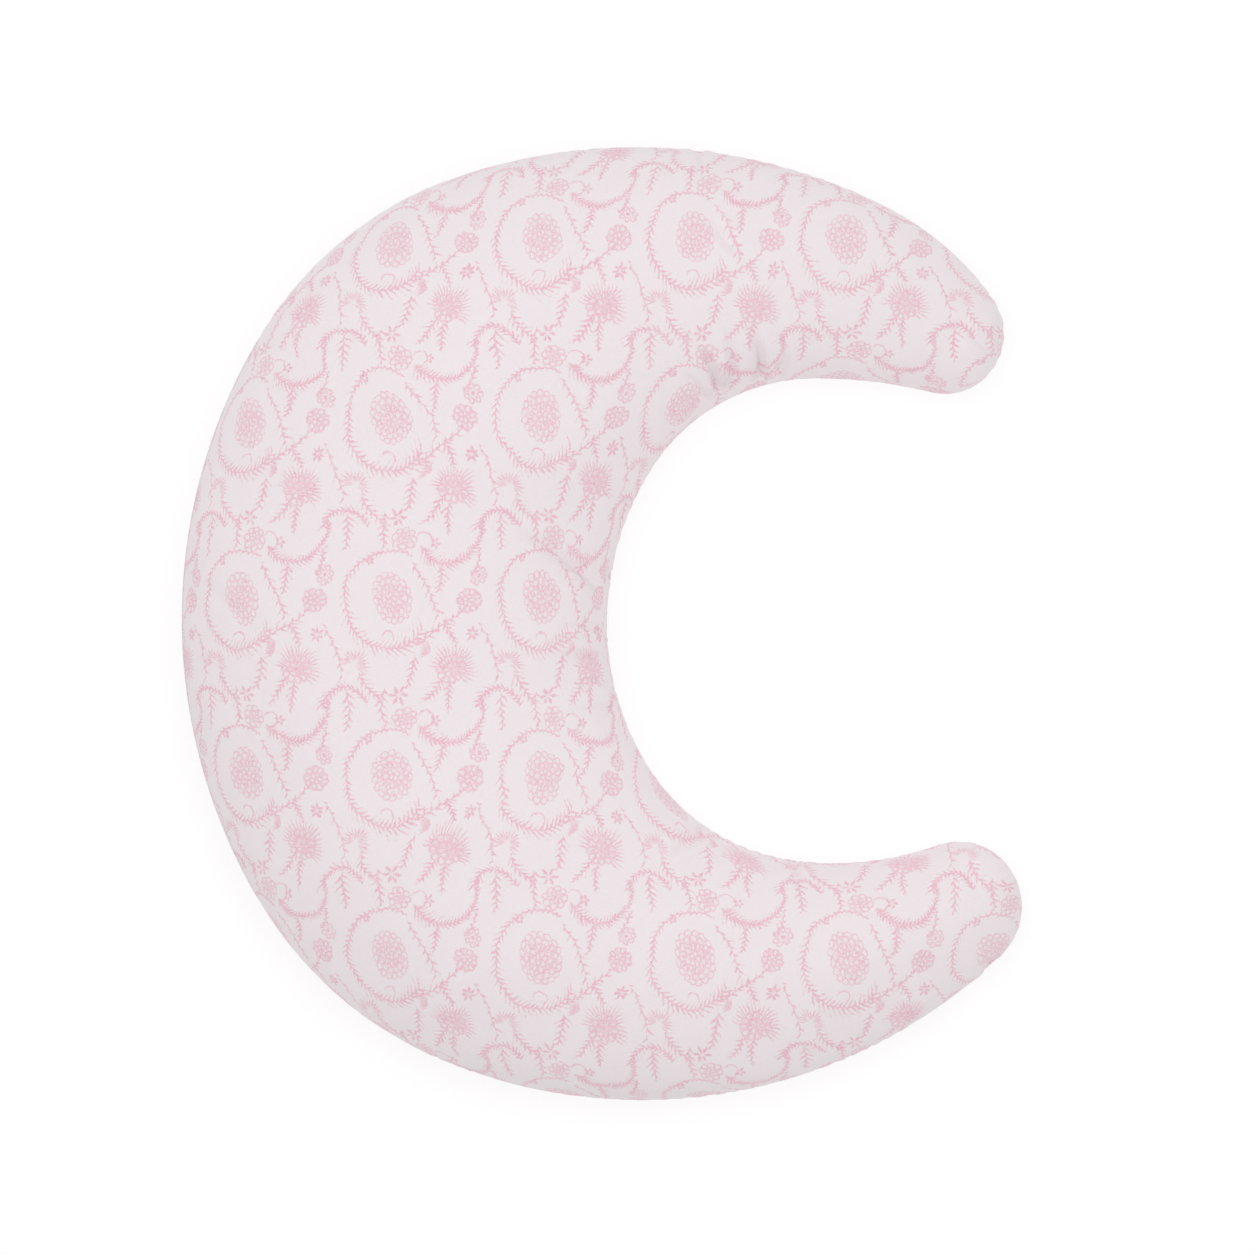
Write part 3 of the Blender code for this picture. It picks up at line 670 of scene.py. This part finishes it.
def sweep(name, paths, normals, radii, sides=6):
    """Round wires along paths: arrays of (wire, point, xyz), with a radius for each point."""
    tangent = np.gradient(paths, axis=1)
    tangent /= np.linalg.norm(tangent, axis=2)[:, :, None]
    third = np.cross(tangent, normals)
    third /= np.linalg.norm(third, axis=2)[:, :, None]
    second = np.cross(third, tangent)
    turn = np.linspace(0, 2 * math.pi, sides, endpoint=False)
    rings = second[:, :, None] * np.cos(turn)[:, None] + third[:, :, None] * np.sin(turn)[:, None]
    points = paths[:, :, None] + rings * radii[None, :, None, None]
    quads, wrapped = tube_faces(paths.shape[1], sides)
    ends = [wrapped[0, :-1][::-1].tolist(), wrapped[-1, :-1].tolist()]
    faces = []
    for number in range(len(paths)):
        first = number * paths.shape[1] * sides
        faces += (quads + first).tolist() + [[corner + first for corner in end] for end in ends]
    mesh = bpy.data.meshes.new(name)
    mesh.from_pydata(points.reshape(-1, 3).tolist(), [], faces)
    mesh.update()
    if signed_volume(mesh) < 0:
        mesh.flip_normals()
    mesh.shade_smooth()
    return mesh


def make_coil(side, material):
    """One side of the zip: a nylon wire wound in flattened loops along the tape's edge."""
    reach = ZIP_ARC_RADIUS * MM - COIL_INSET
    loops = round(2 * math.radians(COIL_END) * reach / COIL_PITCH)
    share = np.linspace(0, 1, loops * LOOP_STEPS + 1)
    along = np.radians(COIL_END) * (2 * share - 1)
    turn = 2 * math.pi * loops * share + (0 if side > 0 else math.pi)
    out = np.stack((-np.cos(along), np.sin(along), np.zeros_like(along)), axis=1)
    loop = out * (COIL_HALF_DEPTH * np.cos(turn))[:, None] + UP * (COIL_HALF_WIDTH * np.sin(turn))[:, None]
    path = ZIP_CENTRE + out * reach + UP * side * COIL_OFFSET + loop
    normal = loop / np.linalg.norm(loop, axis=1)[:, None]
    name = "zip_coil_loops_upper" if side > 0 else "zip_coil_loops_lower"
    mesh = sweep(name, path[None], normal[None], np.full(len(path), COIL_WIRE))
    make_piece(name, mesh, material, ["zip_coil_upper" if side > 0 else "zip_coil_lower"])


def make_stitch_row(walk, surface, side, material):
    """Lockstitches lying on the cover beside the zip, each dipping into the cloth at its ends."""
    run = steps_along(surface, 1)
    normal = outward(surface, side)
    place = STITCH_LINE - ZIP_MOUTH
    beside = np.abs(walk.angle) < MOUTH_END
    line = np.array([[np.interp(place, r, p[:, k]) for k in range(3)]
                     for r, p in zip(run[beside], surface[beside])])
    out = np.array([[np.interp(place, r, n[:, k]) for k in range(3)]
                    for r, n in zip(run[beside], normal[beside])])
    length = np.insert(np.cumsum(np.linalg.norm(np.diff(line, axis=0), axis=1)), 0, 0.0)
    count = int(length[-1] / STITCH_PITCH)
    share = np.linspace(0, 1, STITCH_STEPS + 1)
    wanted = (np.arange(count)[:, None] * STITCH_PITCH + share * STITCH_LENGTH).ravel()
    shape = (count, STITCH_STEPS + 1, 3)
    path = read_rows(line, length, wanted).reshape(shape)
    up = read_rows(out, length, wanted).reshape(shape)
    up /= np.linalg.norm(up, axis=2)[:, :, None]
    lift = (np.sin(math.pi * share) ** 0.6 * 0.28 - 0.14) * MM
    radii = STITCH_THREAD * (0.55 + 0.45 * np.sin(math.pi * share) ** 0.5)
    ending = "upper" if side > 0 else "lower"
    mesh = sweep("zip_stitches_" + ending, path + up * lift[None, :, None], up, radii)
    make_piece("zip_stitches_" + ending, mesh, material, ["zip_stitching_" + ending])


# ---------------------------------------------------------------- material maths
class Value:
    """One value of a material. Arithmetic adds Math nodes; node() adds any other node."""

    def __init__(self, socket):
        self.socket = socket

    def node(self, kind, settings=(), inputs=(), output=0):
        tree = self.socket.id_data
        made = tree.nodes.new(kind)
        for name, setting in dict(settings).items():
            setattr(made, name, setting)
        for name, value in dict(inputs).items():
            if isinstance(value, Value):
                tree.links.new(value.socket, made.inputs[name])
            else:
                made.inputs[name].default_value = value
        return Value(made.outputs[output])

    def math(self, operation, first, *others):
        return self.node("ShaderNodeMath", {"operation": operation}, enumerate((first,) + others))

    def __add__(self, other):
        return self.math("ADD", self, other)

    def __sub__(self, other):
        return self.math("SUBTRACT", self, other)

    def __rsub__(self, other):
        return self.math("SUBTRACT", other, self)

    def __mul__(self, other):
        return self.math("MULTIPLY", self, other)

    def __truediv__(self, other):
        return self.math("DIVIDE", self, other)

    def __abs__(self):
        return self.math("ABSOLUTE", self)

    def most(self, other):
        return self.math("MAXIMUM", self, other)

    def least(self, other):
        return self.math("MINIMUM", self, other)

    def sine(self):
        return self.math("SINE", self)

    def root(self):
        return self.math("SQRT", self)

    def repeat(self, span):
        """The value counted from the middle of each span."""
        return self.math("WRAP", self, span / 2, -span / 2)

    def under(self, edge, softness):
        """1 where the value is under the edge and 0 above it, with a soft change."""
        return self.node("ShaderNodeMapRange", {"interpolation_type": "SMOOTHSTEP"},
                         {"Value": self, "From Min": edge - softness, "From Max": edge + softness,
                          "To Min": 1.0, "To Max": 0.0})

    def vector(self, operation, *others):
        return self.node("ShaderNodeVectorMath", {"operation": operation}, enumerate((self,) + others))

    def part(self, axis):
        return self.node("ShaderNodeSeparateXYZ", (), {0: self}, axis)

    def size(self):
        return self.node("ShaderNodeVectorMath", {"operation": "LENGTH"}, {0: self}, "Value")

    def noise(self, scale, detail=2.0, roughness=0.5, output="Fac"):
        inputs = {"Vector": self, "Scale": scale, "Detail": detail, "Roughness": roughness}
        return self.node("ShaderNodeTexNoise", (), inputs, output)

    def mixed(self, low, high):
        """A colour between two colours, by this value."""
        return self.node("ShaderNodeMix", {"data_type": "RGBA"}, {0: self, 6: low, 7: high}, 2)


def start_material(name, start="ShaderNodeTexCoord", output="Object"):
    material = bpy.data.materials.new(name)
    material.use_nodes = True
    tree = material.node_tree
    first = tree.nodes.new(start)
    return material, Value(first.outputs[output]), tree.nodes["Principled BSDF"]


def feed(shader, name, value):
    if isinstance(value, Value):
        shader.id_data.links.new(value.socket, shader.inputs[name])
    else:
        shader.inputs[name].default_value = value


def bump(height, strength, distance):
    return height.node("ShaderNodeBump", (), {"Strength": strength, "Distance": distance, "Height": height})


# ---------------------------------------------------------------- the print
REPEAT = (97.0, 112.0)
LINE = 0.36
EDGE = 0.47
WASH = 0.1
PRINT_SHIFT = (-37.7, 16.5, 0.0)
THREAD_PITCH = 0.55
TURN = math.pi / 180

# Leafy stems: (x, y, direction, length, leaf at the root, leaf at the end, pitch, bend).
STEMS = [
    (30, -17, 37, 40, 4.2, 2.0, 5.2, -1.5),
    (21, 5, -64, 36, 2.2, 3.6, 5.6, 1.6),
    (36, -22, -62, 15, 4.5, 2.0, 3.2, 0.6),
    (12, -46, -102, 21, 5.0, 3.0, 4.2, 1.0),
    (26, -57, 232, 21, 5.2, 2.0, 3.6, 1.2),
    (36, -62, 266, 19, 5.0, 1.5, 3.4, -1.0),
    (-28, 41, -90, 22, 6.2, 2.2, 4.6, 0.4),
    (-4, 44, -86, 21, 4.2, 3.0, 4.4, -1.0),
    (-36, -33, -70, 34, 2.0, 3.4, 8.0, 1.8),
    (-12, -56, -50, 23, 4.6, 3.0, 3.8, -1.6),
    (30, 12, -98, 17, 4.8, 2.2, 3.4, 0.8),
    (-44, 22, 68, 16, 3.0, 1.6, 3.6, -1.2),
]
# Leafy scrolls: (x, y, middle direction, half sweep, radius, squeeze, first leaf, last leaf, pitch).
SCROLLS = [
    (-2, -1, 190, 131, 31.0, 1.16, 1.3, 6.4, 3.9),
    (36, -69, -66, 84, 21.0, 1.0, 5.0, 1.6, 2.6),
    (-29, 43, 92, 84, 12.0, 0.9, 2.6, 3.4, 2.8),
    (20, -76, 10, 125, 5.2, 1.0, 0.5, 0.5, 4.0),
    (-2, -25, 60, 95, 4.2, 1.0, 0.5, 0.5, 4.0),
]
# Blossoms of looped petals: (x, y, tilt, squeeze, rings of (radius, petals, half width, half length)).
BLOSSOMS = [
    (0, 0, 12, 1.34, ((2.7, 5, 1.5, 1.8), (6.7, 9, 1.9, 2.0), (10.8, 13, 2.2, 2.1), (14.6, 17, 2.3, 2.0))),
    (49, -1, 0, 1.0, ((2.2, 5, 1.2, 1.6), (5.4, 9, 1.7, 2.0))),
    (8, -75, 10, 1.0, ((2.0, 4, 1.1, 1.3), (5.6, 8, 1.9, 1.8))),
    (-42, 14, 0, 1.1, ((4.4, 7, 1.4, 1.6),)),
    (38, -44, 0, 1.0, ((3.4, 6, 1.5, 2.0), (7.2, 11, 1.8, 2.3))),
]
# Sprays of fine strokes: (x, y, direction, half sweep, first radius, last radius, strokes in a turn).
SPRAYS = [
    (0, 0, 0, 180, 5.0, 9.5, 19),
    (38, -44, 62, 112, 6.5, 15.5, 34),
    (38, -44, 62, 150, 2.0, 9.0, 21),
    (24, -33, 150, 60, 0.6, 7.0, 26),
    (-23, -41, 72, 118, 2.4, 9.0, 22),
    (4, -61, 0, 180, 1.0, 6.2, 6),
    (50, -22, 30, 180, 0.8, 5.0, 7),
    (49, -1, 0, 180, 4.5, 8.0, 14),
    (27, 35, 0, 180, 0.8, 3.8, 5),
    (-14, 24, 40, 180, 0.6, 3.0, 5),
]


def around(cloth, x, y, direction=0.0):
    """Flat cloth seen from a motif's own place and direction, coming back in every repeat."""
    width, height = REPEAT
    near = cloth.vector("SUBTRACT", (x, y, 0.0))
    near = near.vector("WRAP", (width / 2, height / 2, 1.0), (-width / 2, -height / 2, -1.0))
    if direction:
        near = near.node("ShaderNodeVectorRotate", {"rotation_type": "Z_AXIS"},
                         {"Vector": near, "Angle": -direction * TURN})
    return near


def leaves(along, aside, length, first, last, pitch, sway):
    """Slanted pointed leaves, left and right by turns, on a stem, with the stem itself."""
    off = abs(aside)
    foot = along - off * 0.85 + aside.math("SIGN", aside) * (pitch / 4)
    reach = (along * ((last - first) / length) + (first + last) / 2).most(0.4) * sway
    blade = 1.1 - off / reach * 1.05
    leaf = (abs(foot.repeat(pitch)) - blade).under(0.0, EDGE)
    stem = (off - LINE).under(0.0, EDGE)
    inside = (abs(foot) - length / 2).under(0.0, EDGE)
    return leaf.most(stem) * inside


def stem_ink(cloth, sway, x, y, direction, length, first, last, pitch, bend):
    near = around(cloth, x, y, direction)
    along = near.part(0)
    aside = near.part(1) + along * along * (4 * bend / length ** 2) - bend
    return leaves(along, aside, length, first, last, pitch, sway)


def polar(near, squeeze):
    if squeeze != 1.0:
        near = near.vector("MULTIPLY", (squeeze, 1.0, 1.0))
    angle = near.math("ARCTAN2", near.part(1), near.part(0))
    return angle, near.size()


def scroll_ink(cloth, sway, x, y, direction, sweep, radius, squeeze, first, last, pitch):
    near = around(cloth, x, y)
    if squeeze != 1.0:
        near = near.vector("MULTIPLY", (squeeze, 1.0, 1.0))
    near = near.node("ShaderNodeVectorRotate", {"rotation_type": "Z_AXIS"},
                     {"Vector": near, "Angle": -direction * TURN})
    angle, distance = polar(near, 1.0)
    return leaves(angle * radius, distance - radius, 2 * sweep * TURN * radius, first, last, pitch, sway)


def blossom_ink(cloth, sway, x, y, tilt, squeeze, rings):
    near = around(cloth, x, y, tilt)
    angle, distance = polar(near, squeeze)
    ink = None
    for count, (radius, petals, half_width, half_length) in enumerate(rings):
        turn = 2 * math.pi / petals
        across = (angle + turn * 0.5 * count).repeat(turn) * (radius / half_width)
        out = (distance - radius) / half_length
        loop = abs((across * across + out * out).root() - 1.0)
        petal = (loop * half_width - LINE).under(0.0, EDGE)
        ink = petal if ink is None else ink.most(petal)
    tint = (distance - rings[-1][0]).under(0.0, 2.5) * WASH
    return ink.most((distance - rings[0][0] * 0.3).under(0.0, EDGE)).most(tint)


def spray_ink(cloth, sway, x, y, direction, sweep, first, last, strokes):
    near = around(cloth, x, y, direction)
    angle, distance = polar(near, 1.0)
    turn = 2 * math.pi / strokes
    middle = (first + last) / 2
    swing = (angle * 5.0).sine() * ((last - first) * 0.12)
    out = abs(distance - middle + swing) / ((last - first) / 2)
    width = (1.0 - out * out) * (0.95 if strokes < 10 else 0.42)
    ink = (abs(angle.repeat(turn)) * distance - width).under(0.0, EDGE)
    return ink if sweep >= 180 else ink * (abs(angle) - sweep * TURN).under(0.0, 0.05)


def print_ink(cloth):
    """How much ink lies at a point of the flat cloth, 0 to 1, for the scrolling floral."""
    wobble = cloth.noise(0.36, 3.0, 0.65, "Color").vector("SUBTRACT", (0.5, 0.5, 0.5))
    drift = cloth.noise(0.05, 0.0, 0.5, "Color").vector("SUBTRACT", (0.5, 0.5, 0.5))
    wobble_by = wobble.node("ShaderNodeVectorMath", {"operation": "SCALE"}, {0: wobble, "Scale": 3.4})
    drift_by = drift.node("ShaderNodeVectorMath", {"operation": "SCALE"}, {0: drift, "Scale": 5.0})
    drawn = cloth.vector("ADD", wobble_by).vector("ADD", drift_by)
    drawn = drawn.vector("MULTIPLY", (1.0, 1.0, 0.0))
    sway = cloth.noise(0.27, 1.0, 0.5) * 2.2 - 0.1
    ink = None
    kinds = ((stem_ink, STEMS), (scroll_ink, SCROLLS), (blossom_ink, BLOSSOMS), (spray_ink, SPRAYS))
    for draw, motifs in kinds:
        for motif in motifs:
            made = draw(drawn, sway, *motif)
            ink = made if ink is None else ink.most(made)
    return ink


def printed_cotton():
    material, uv, shader = start_material("printed_cotton", "ShaderNodeUVMap", "UV")
    uv.socket.node.uv_map = "OFBake"
    cloth = uv.vector("SUBTRACT", (0.5, 0.5, 0.0)).vector("MULTIPLY", (FLAT_SPAN / MM, FLAT_SPAN / MM, 0.0))
    ink = print_ink(cloth.vector("SUBTRACT", PRINT_SHIFT))
    wear = cloth.noise(0.8, 3.0, 0.75)
    patchy = cloth.noise(0.11, 2.0, 0.5)
    strength = (ink * (wear * 2.3 - 0.36) * (patchy * 0.7 + 0.53)).least(1.0)
    warp = cloth.vector("MULTIPLY", (1.9, 0.22, 1.0)).noise(1.0, 3.0, 0.6)
    weft = cloth.vector("MULTIPLY", (0.22, 1.9, 1.0)).noise(1.0, 3.0, 0.6)
    slub = (warp + weft) * 0.5
    base = slub.node("ShaderNodeMapRange", (), {"Value": slub, "From Min": 0.3, "From Max": 0.7,
                                               "To Min": 0.0, "To Max": 1.0})
    ground = base.mixed((0.845, 0.772, 0.798, 1), (0.905, 0.836, 0.860, 1))
    pink = wear.mixed((0.80, 0.36, 0.46, 1), (0.86, 0.48, 0.57, 1))
    colour = strength.mixed(ground, pink)
    turns = 2 * math.pi / THREAD_PITCH
    threads = (cloth.part(0) * turns).sine() * 0.5 + (cloth.part(1) * turns).sine() * 0.5
    height = threads * 0.5 + slub * 1.4
    feed(shader, "Base Color", colour)
    feed(shader, "Normal", bump(height, 0.35, 0.00012))
    feed(shader, "Roughness", 0.86)
    feed(shader, "Sheen Weight", 0.15)
    feed(shader, "Sheen Roughness", 0.5)
    feed(shader, "Specular IOR Level", 0.2)
    return material


def shaded(colour, share):
    return tuple(channel * share for channel in colour) + (1,)


def ribs(distance, pitch):
    """Rounded ribs across a distance, 0 to 1 high."""
    return (distance * (2 * math.pi / pitch)).sine() * 0.5 + 0.5


def woven(name, colour, pitch, warp, weft, flecks):
    """Plain weave on two distances: crossing threads, slubs, and darker flecks."""
    material, place, shader = start_material(name)
    one, other = warp(place), weft(place)
    over = (one * (math.pi / pitch)).sine() * (other * (math.pi / pitch)).sine()
    slub = place.noise(0.3 / pitch, 3.0, 0.6)
    fleck = place.noise(0.12 / pitch, 2.0, 0.5).under(0.5 - flecks, 0.03)
    yarn = slub.mixed(shaded(colour, 0.9), shaded(colour, 1.03))
    feed(shader, "Base Color", fleck.mixed(yarn, shaded(colour, 0.82)))
    feed(shader, "Roughness", slub * 0.16 + 0.76)
    feed(shader, "Normal", bump(over * 0.5 + slub, 0.5, 0.3 * pitch))
    feed(shader, "Sheen Weight", 0.1)
    feed(shader, "Specular IOR Level", 0.25)
    return material


def along_x(place):
    return place.part(0)


def along_y(place):
    return place.part(1)


def along_z(place):
    return place.part(2)


def along_zip(place):
    """Distance along the zip's arc."""
    centred = place.vector("SUBTRACT", tuple(ZIP_CENTRE))
    return centred.math("ARCTAN2", centred.part(1), centred.part(0) * -1.0) * (ZIP_ARC_RADIUS * MM)


def twisted_thread():
    material, place, shader = start_material("sewing_thread")
    colour = (0.87, 0.80, 0.82)
    twist = ribs(along_zip(place) + place.part(2) * 1.4 + place.noise(300.0, 1.0) * 0.0006, 0.42 * MM)
    fuzz = place.noise(4200.0, 3.0, 0.7)
    feed(shader, "Base Color", (twist * 0.6 + fuzz * 0.4).mixed(shaded(colour, 0.84), shaded(colour, 1.05)))
    feed(shader, "Roughness", fuzz * 0.2 + 0.55)
    feed(shader, "Normal", bump(twist + fuzz * 0.5, 0.6, 0.00008))
    feed(shader, "Sheen Weight", 0.2)
    return material


def label_satin():
    material, place, shader = start_material("label_satin")
    colour = (0.90, 0.90, 0.88)
    line = ribs(along_zip(place), 0.3 * MM) * 0.7 + place.noise(1800.0, 2.0) * 0.3
    feed(shader, "Base Color", line.mixed(shaded(colour, 0.93), shaded(colour, 1.02)))
    feed(shader, "Roughness", line * 0.12 + 0.3)
    feed(shader, "Normal", bump(line, 0.35, 0.00004))
    feed(shader, "Anisotropic", 0.5)
    return material


def polyester_fibre():
    material, place, shader = start_material("polyester_fibre")
    colour = (0.90, 0.90, 0.89)
    curl = place.noise(140.0, 3.0, 0.6, "Color").vector("MULTIPLY", (0.004, 0.004, 0.004))
    curled = place.vector("ADD", curl)
    hair = ribs(curled.part(0) + curled.part(2) * 0.6, 0.5 * MM)
    hair = hair * ribs(curled.part(1) - curled.part(2), 0.7 * MM)
    clump = place.noise(85.0, 5.0, 0.65)
    feed(shader, "Base Color", (hair * 0.4 + clump * 0.6).mixed(shaded(colour, 0.86), shaded(colour, 1.04)))
    feed(shader, "Roughness", clump * 0.1 + 0.88)
    feed(shader, "Normal", bump(hair * 0.5 + clump * 1.5, 0.8, 0.0012))
    feed(shader, "Sheen Weight", 0.3)
    return material


def zip_nylon():
    material, place, shader = start_material("zip_nylon")
    colour = (0.87, 0.85, 0.86)
    drawn = place.noise(2600.0, 2.0, 0.5)
    feed(shader, "Base Color", drawn.mixed(shaded(colour, 0.94), shaded(colour, 1.02)))
    feed(shader, "Roughness", drawn * 0.15 + 0.3)
    feed(shader, "Normal", bump(drawn, 0.25, 0.00003))
    feed(shader, "Specular IOR Level", 0.55)
    feed(shader, "Coat Weight", 0.15)
    return material


def slider_enamel():
    """Sprayed white enamel with a fine orange peel, rubbed thin in small spots."""
    material, place, shader = start_material("slider_enamel")
    colour = (0.88, 0.85, 0.86)
    peel = place.noise(1500.0, 2.0, 0.5)
    rubbed = place.noise(520.0, 4.0, 0.7).under(0.33, 0.025)
    feed(shader, "Base Color", (rubbed * 0.6).mixed(shaded(colour, 1.0), (0.55, 0.54, 0.53, 1)))
    feed(shader, "Metallic", rubbed * 0.6)
    feed(shader, "Roughness", peel * 0.1 + 0.2)
    feed(shader, "Normal", bump(peel, 0.25, 0.00004))
    feed(shader, "Coat Weight", 0.4)
    feed(shader, "Coat Roughness", 0.15)
    return material


# ---------------------------------------------------------------- room, light, camera
CAMERA_HEIGHT = 6.0
VIEW_CENTRE = (14.9, -1.9)
VIEW_WIDTH = 786.0
SENSOR = 36.0
FAR_CLIP = 50
FLOOR_REACH = 4.0
FLOOR_GLOW = 0.68
SKY_STRENGTH = 0.50

# Softboxes, aimed at the pillow: (name, place, size, power).
SOFTBOXES = [
    ("low_softbox", (-0.3, 2.4, 1.1), 1.2, 7.0),
    ("left_softbox", (-2.4, 0.2, 1.1), 1.2, 5.0),
    ("right_softbox", (2.4, 0.1, 1.1), 1.2, 5.5),
    ("front_softbox", (0.3, -2.4, 1.1), 1.2, 3.0),
    ("overhead_softbox", (0.0, 0.1, 2.8), 1.6, 29.5),
]


def make_camera():
    data = bpy.data.cameras.new("overhead_camera")
    camera = bpy.data.objects.new("overhead_camera", data)
    bpy.context.scene.collection.objects.link(camera)
    camera.location = (VIEW_CENTRE[0] * MM, VIEW_CENTRE[1] * MM, CAMERA_HEIGHT)
    data.sensor_width = SENSOR
    data.lens = SENSOR * (CAMERA_HEIGHT - ZIP_LEVEL) / (VIEW_WIDTH * MM)
    data.clip_end = FAR_CLIP
    bpy.context.scene.camera = camera


def make_floor():
    mesh = bpy.data.meshes.new("studio_floor")
    corners = [(x * FLOOR_REACH, y * FLOOR_REACH, 0) for x, y in ((-1, -1), (1, -1), (1, 1), (-1, 1))]
    mesh.from_pydata(corners, [], [(0, 1, 2, 3)])
    floor = bpy.data.objects.new("studio_floor", mesh)
    bpy.context.scene.collection.objects.link(floor)
    material, place, shader = start_material("pale_floor")
    cloudy = place.noise(1.5, 2.0, 0.5)
    feed(shader, "Base Color", cloudy.mixed((0.33, 0.33, 0.33, 1), (0.37, 0.37, 0.37, 1)))
    feed(shader, "Roughness", 0.95)
    feed(shader, "Specular IOR Level", 0.0)
    feed(shader, "Emission Color", (1.0, 1.0, 1.0, 1))
    feed(shader, "Emission Strength", FLOOR_GLOW)
    mesh.materials.append(material)


def make_lights():
    world = bpy.data.worlds.new("studio")
    bpy.context.scene.world = world
    world.use_nodes = True
    sky = world.node_tree.nodes["Background"]
    sky.inputs["Color"].default_value = (1.0, 1.0, 1.0, 1)
    sky.inputs["Strength"].default_value = SKY_STRENGTH
    for name, place, size, power in SOFTBOXES:
        lamp = bpy.data.lights.new(name, "AREA")
        lamp.size = size
        lamp.energy = power
        light = bpy.data.objects.new(name, lamp)
        light.location = place
        light.rotation_euler = (-Vector(place)).to_track_quat("-Z", "Y").to_euler()
        bpy.context.scene.collection.objects.link(light)
    bpy.context.scene.view_settings.view_transform = "Standard"


make_camera()
make_floor()
make_lights()
cotton = printed_cotton()
FINISHES = {
    "thread": twisted_thread(),
    "tape": woven("zip_tape", (0.88, 0.83, 0.85), 0.45 * MM, along_zip, along_z, -0.4),
    "satin": label_satin(),
    "lining": woven("white_calico", (0.84, 0.82, 0.77), 0.4 * MM, along_x, along_y, 0.2),
    "fibre": polyester_fibre(),
    "nylon": zip_nylon(),
    "enamel": slider_enamel(),
}
SWELLS = swelling()
COVERS = [make_cover_panel(side, seed, swell, cotton)
          for side, seed, swell in zip((1, -1), (11, 47), SWELLS)]
CALMED = [settled(move) for _, _, move in COVERS]
CASES = []
for side, (walk, surface, _), calm in zip((1, -1), COVERS, CALMED):
    CASES.append(make_case_panel(side, calm, surface, FINISHES["lining"]))
    make_coil(side, FINISHES["nylon"])
    make_stitch_row(walk, surface, side, FINISHES["thread"])
make_fill(CALMED, CASES, FINISHES["fibre"])
make_label(FINISHES["satin"])

for row in frame["record"]["subparts"]:
    node = frame["nodes"][row["node"]]
    if row["material_slot"] in FINISHES:
        node.data.materials.clear()
        node.data.materials.append(FINISHES[row["material_slot"]])
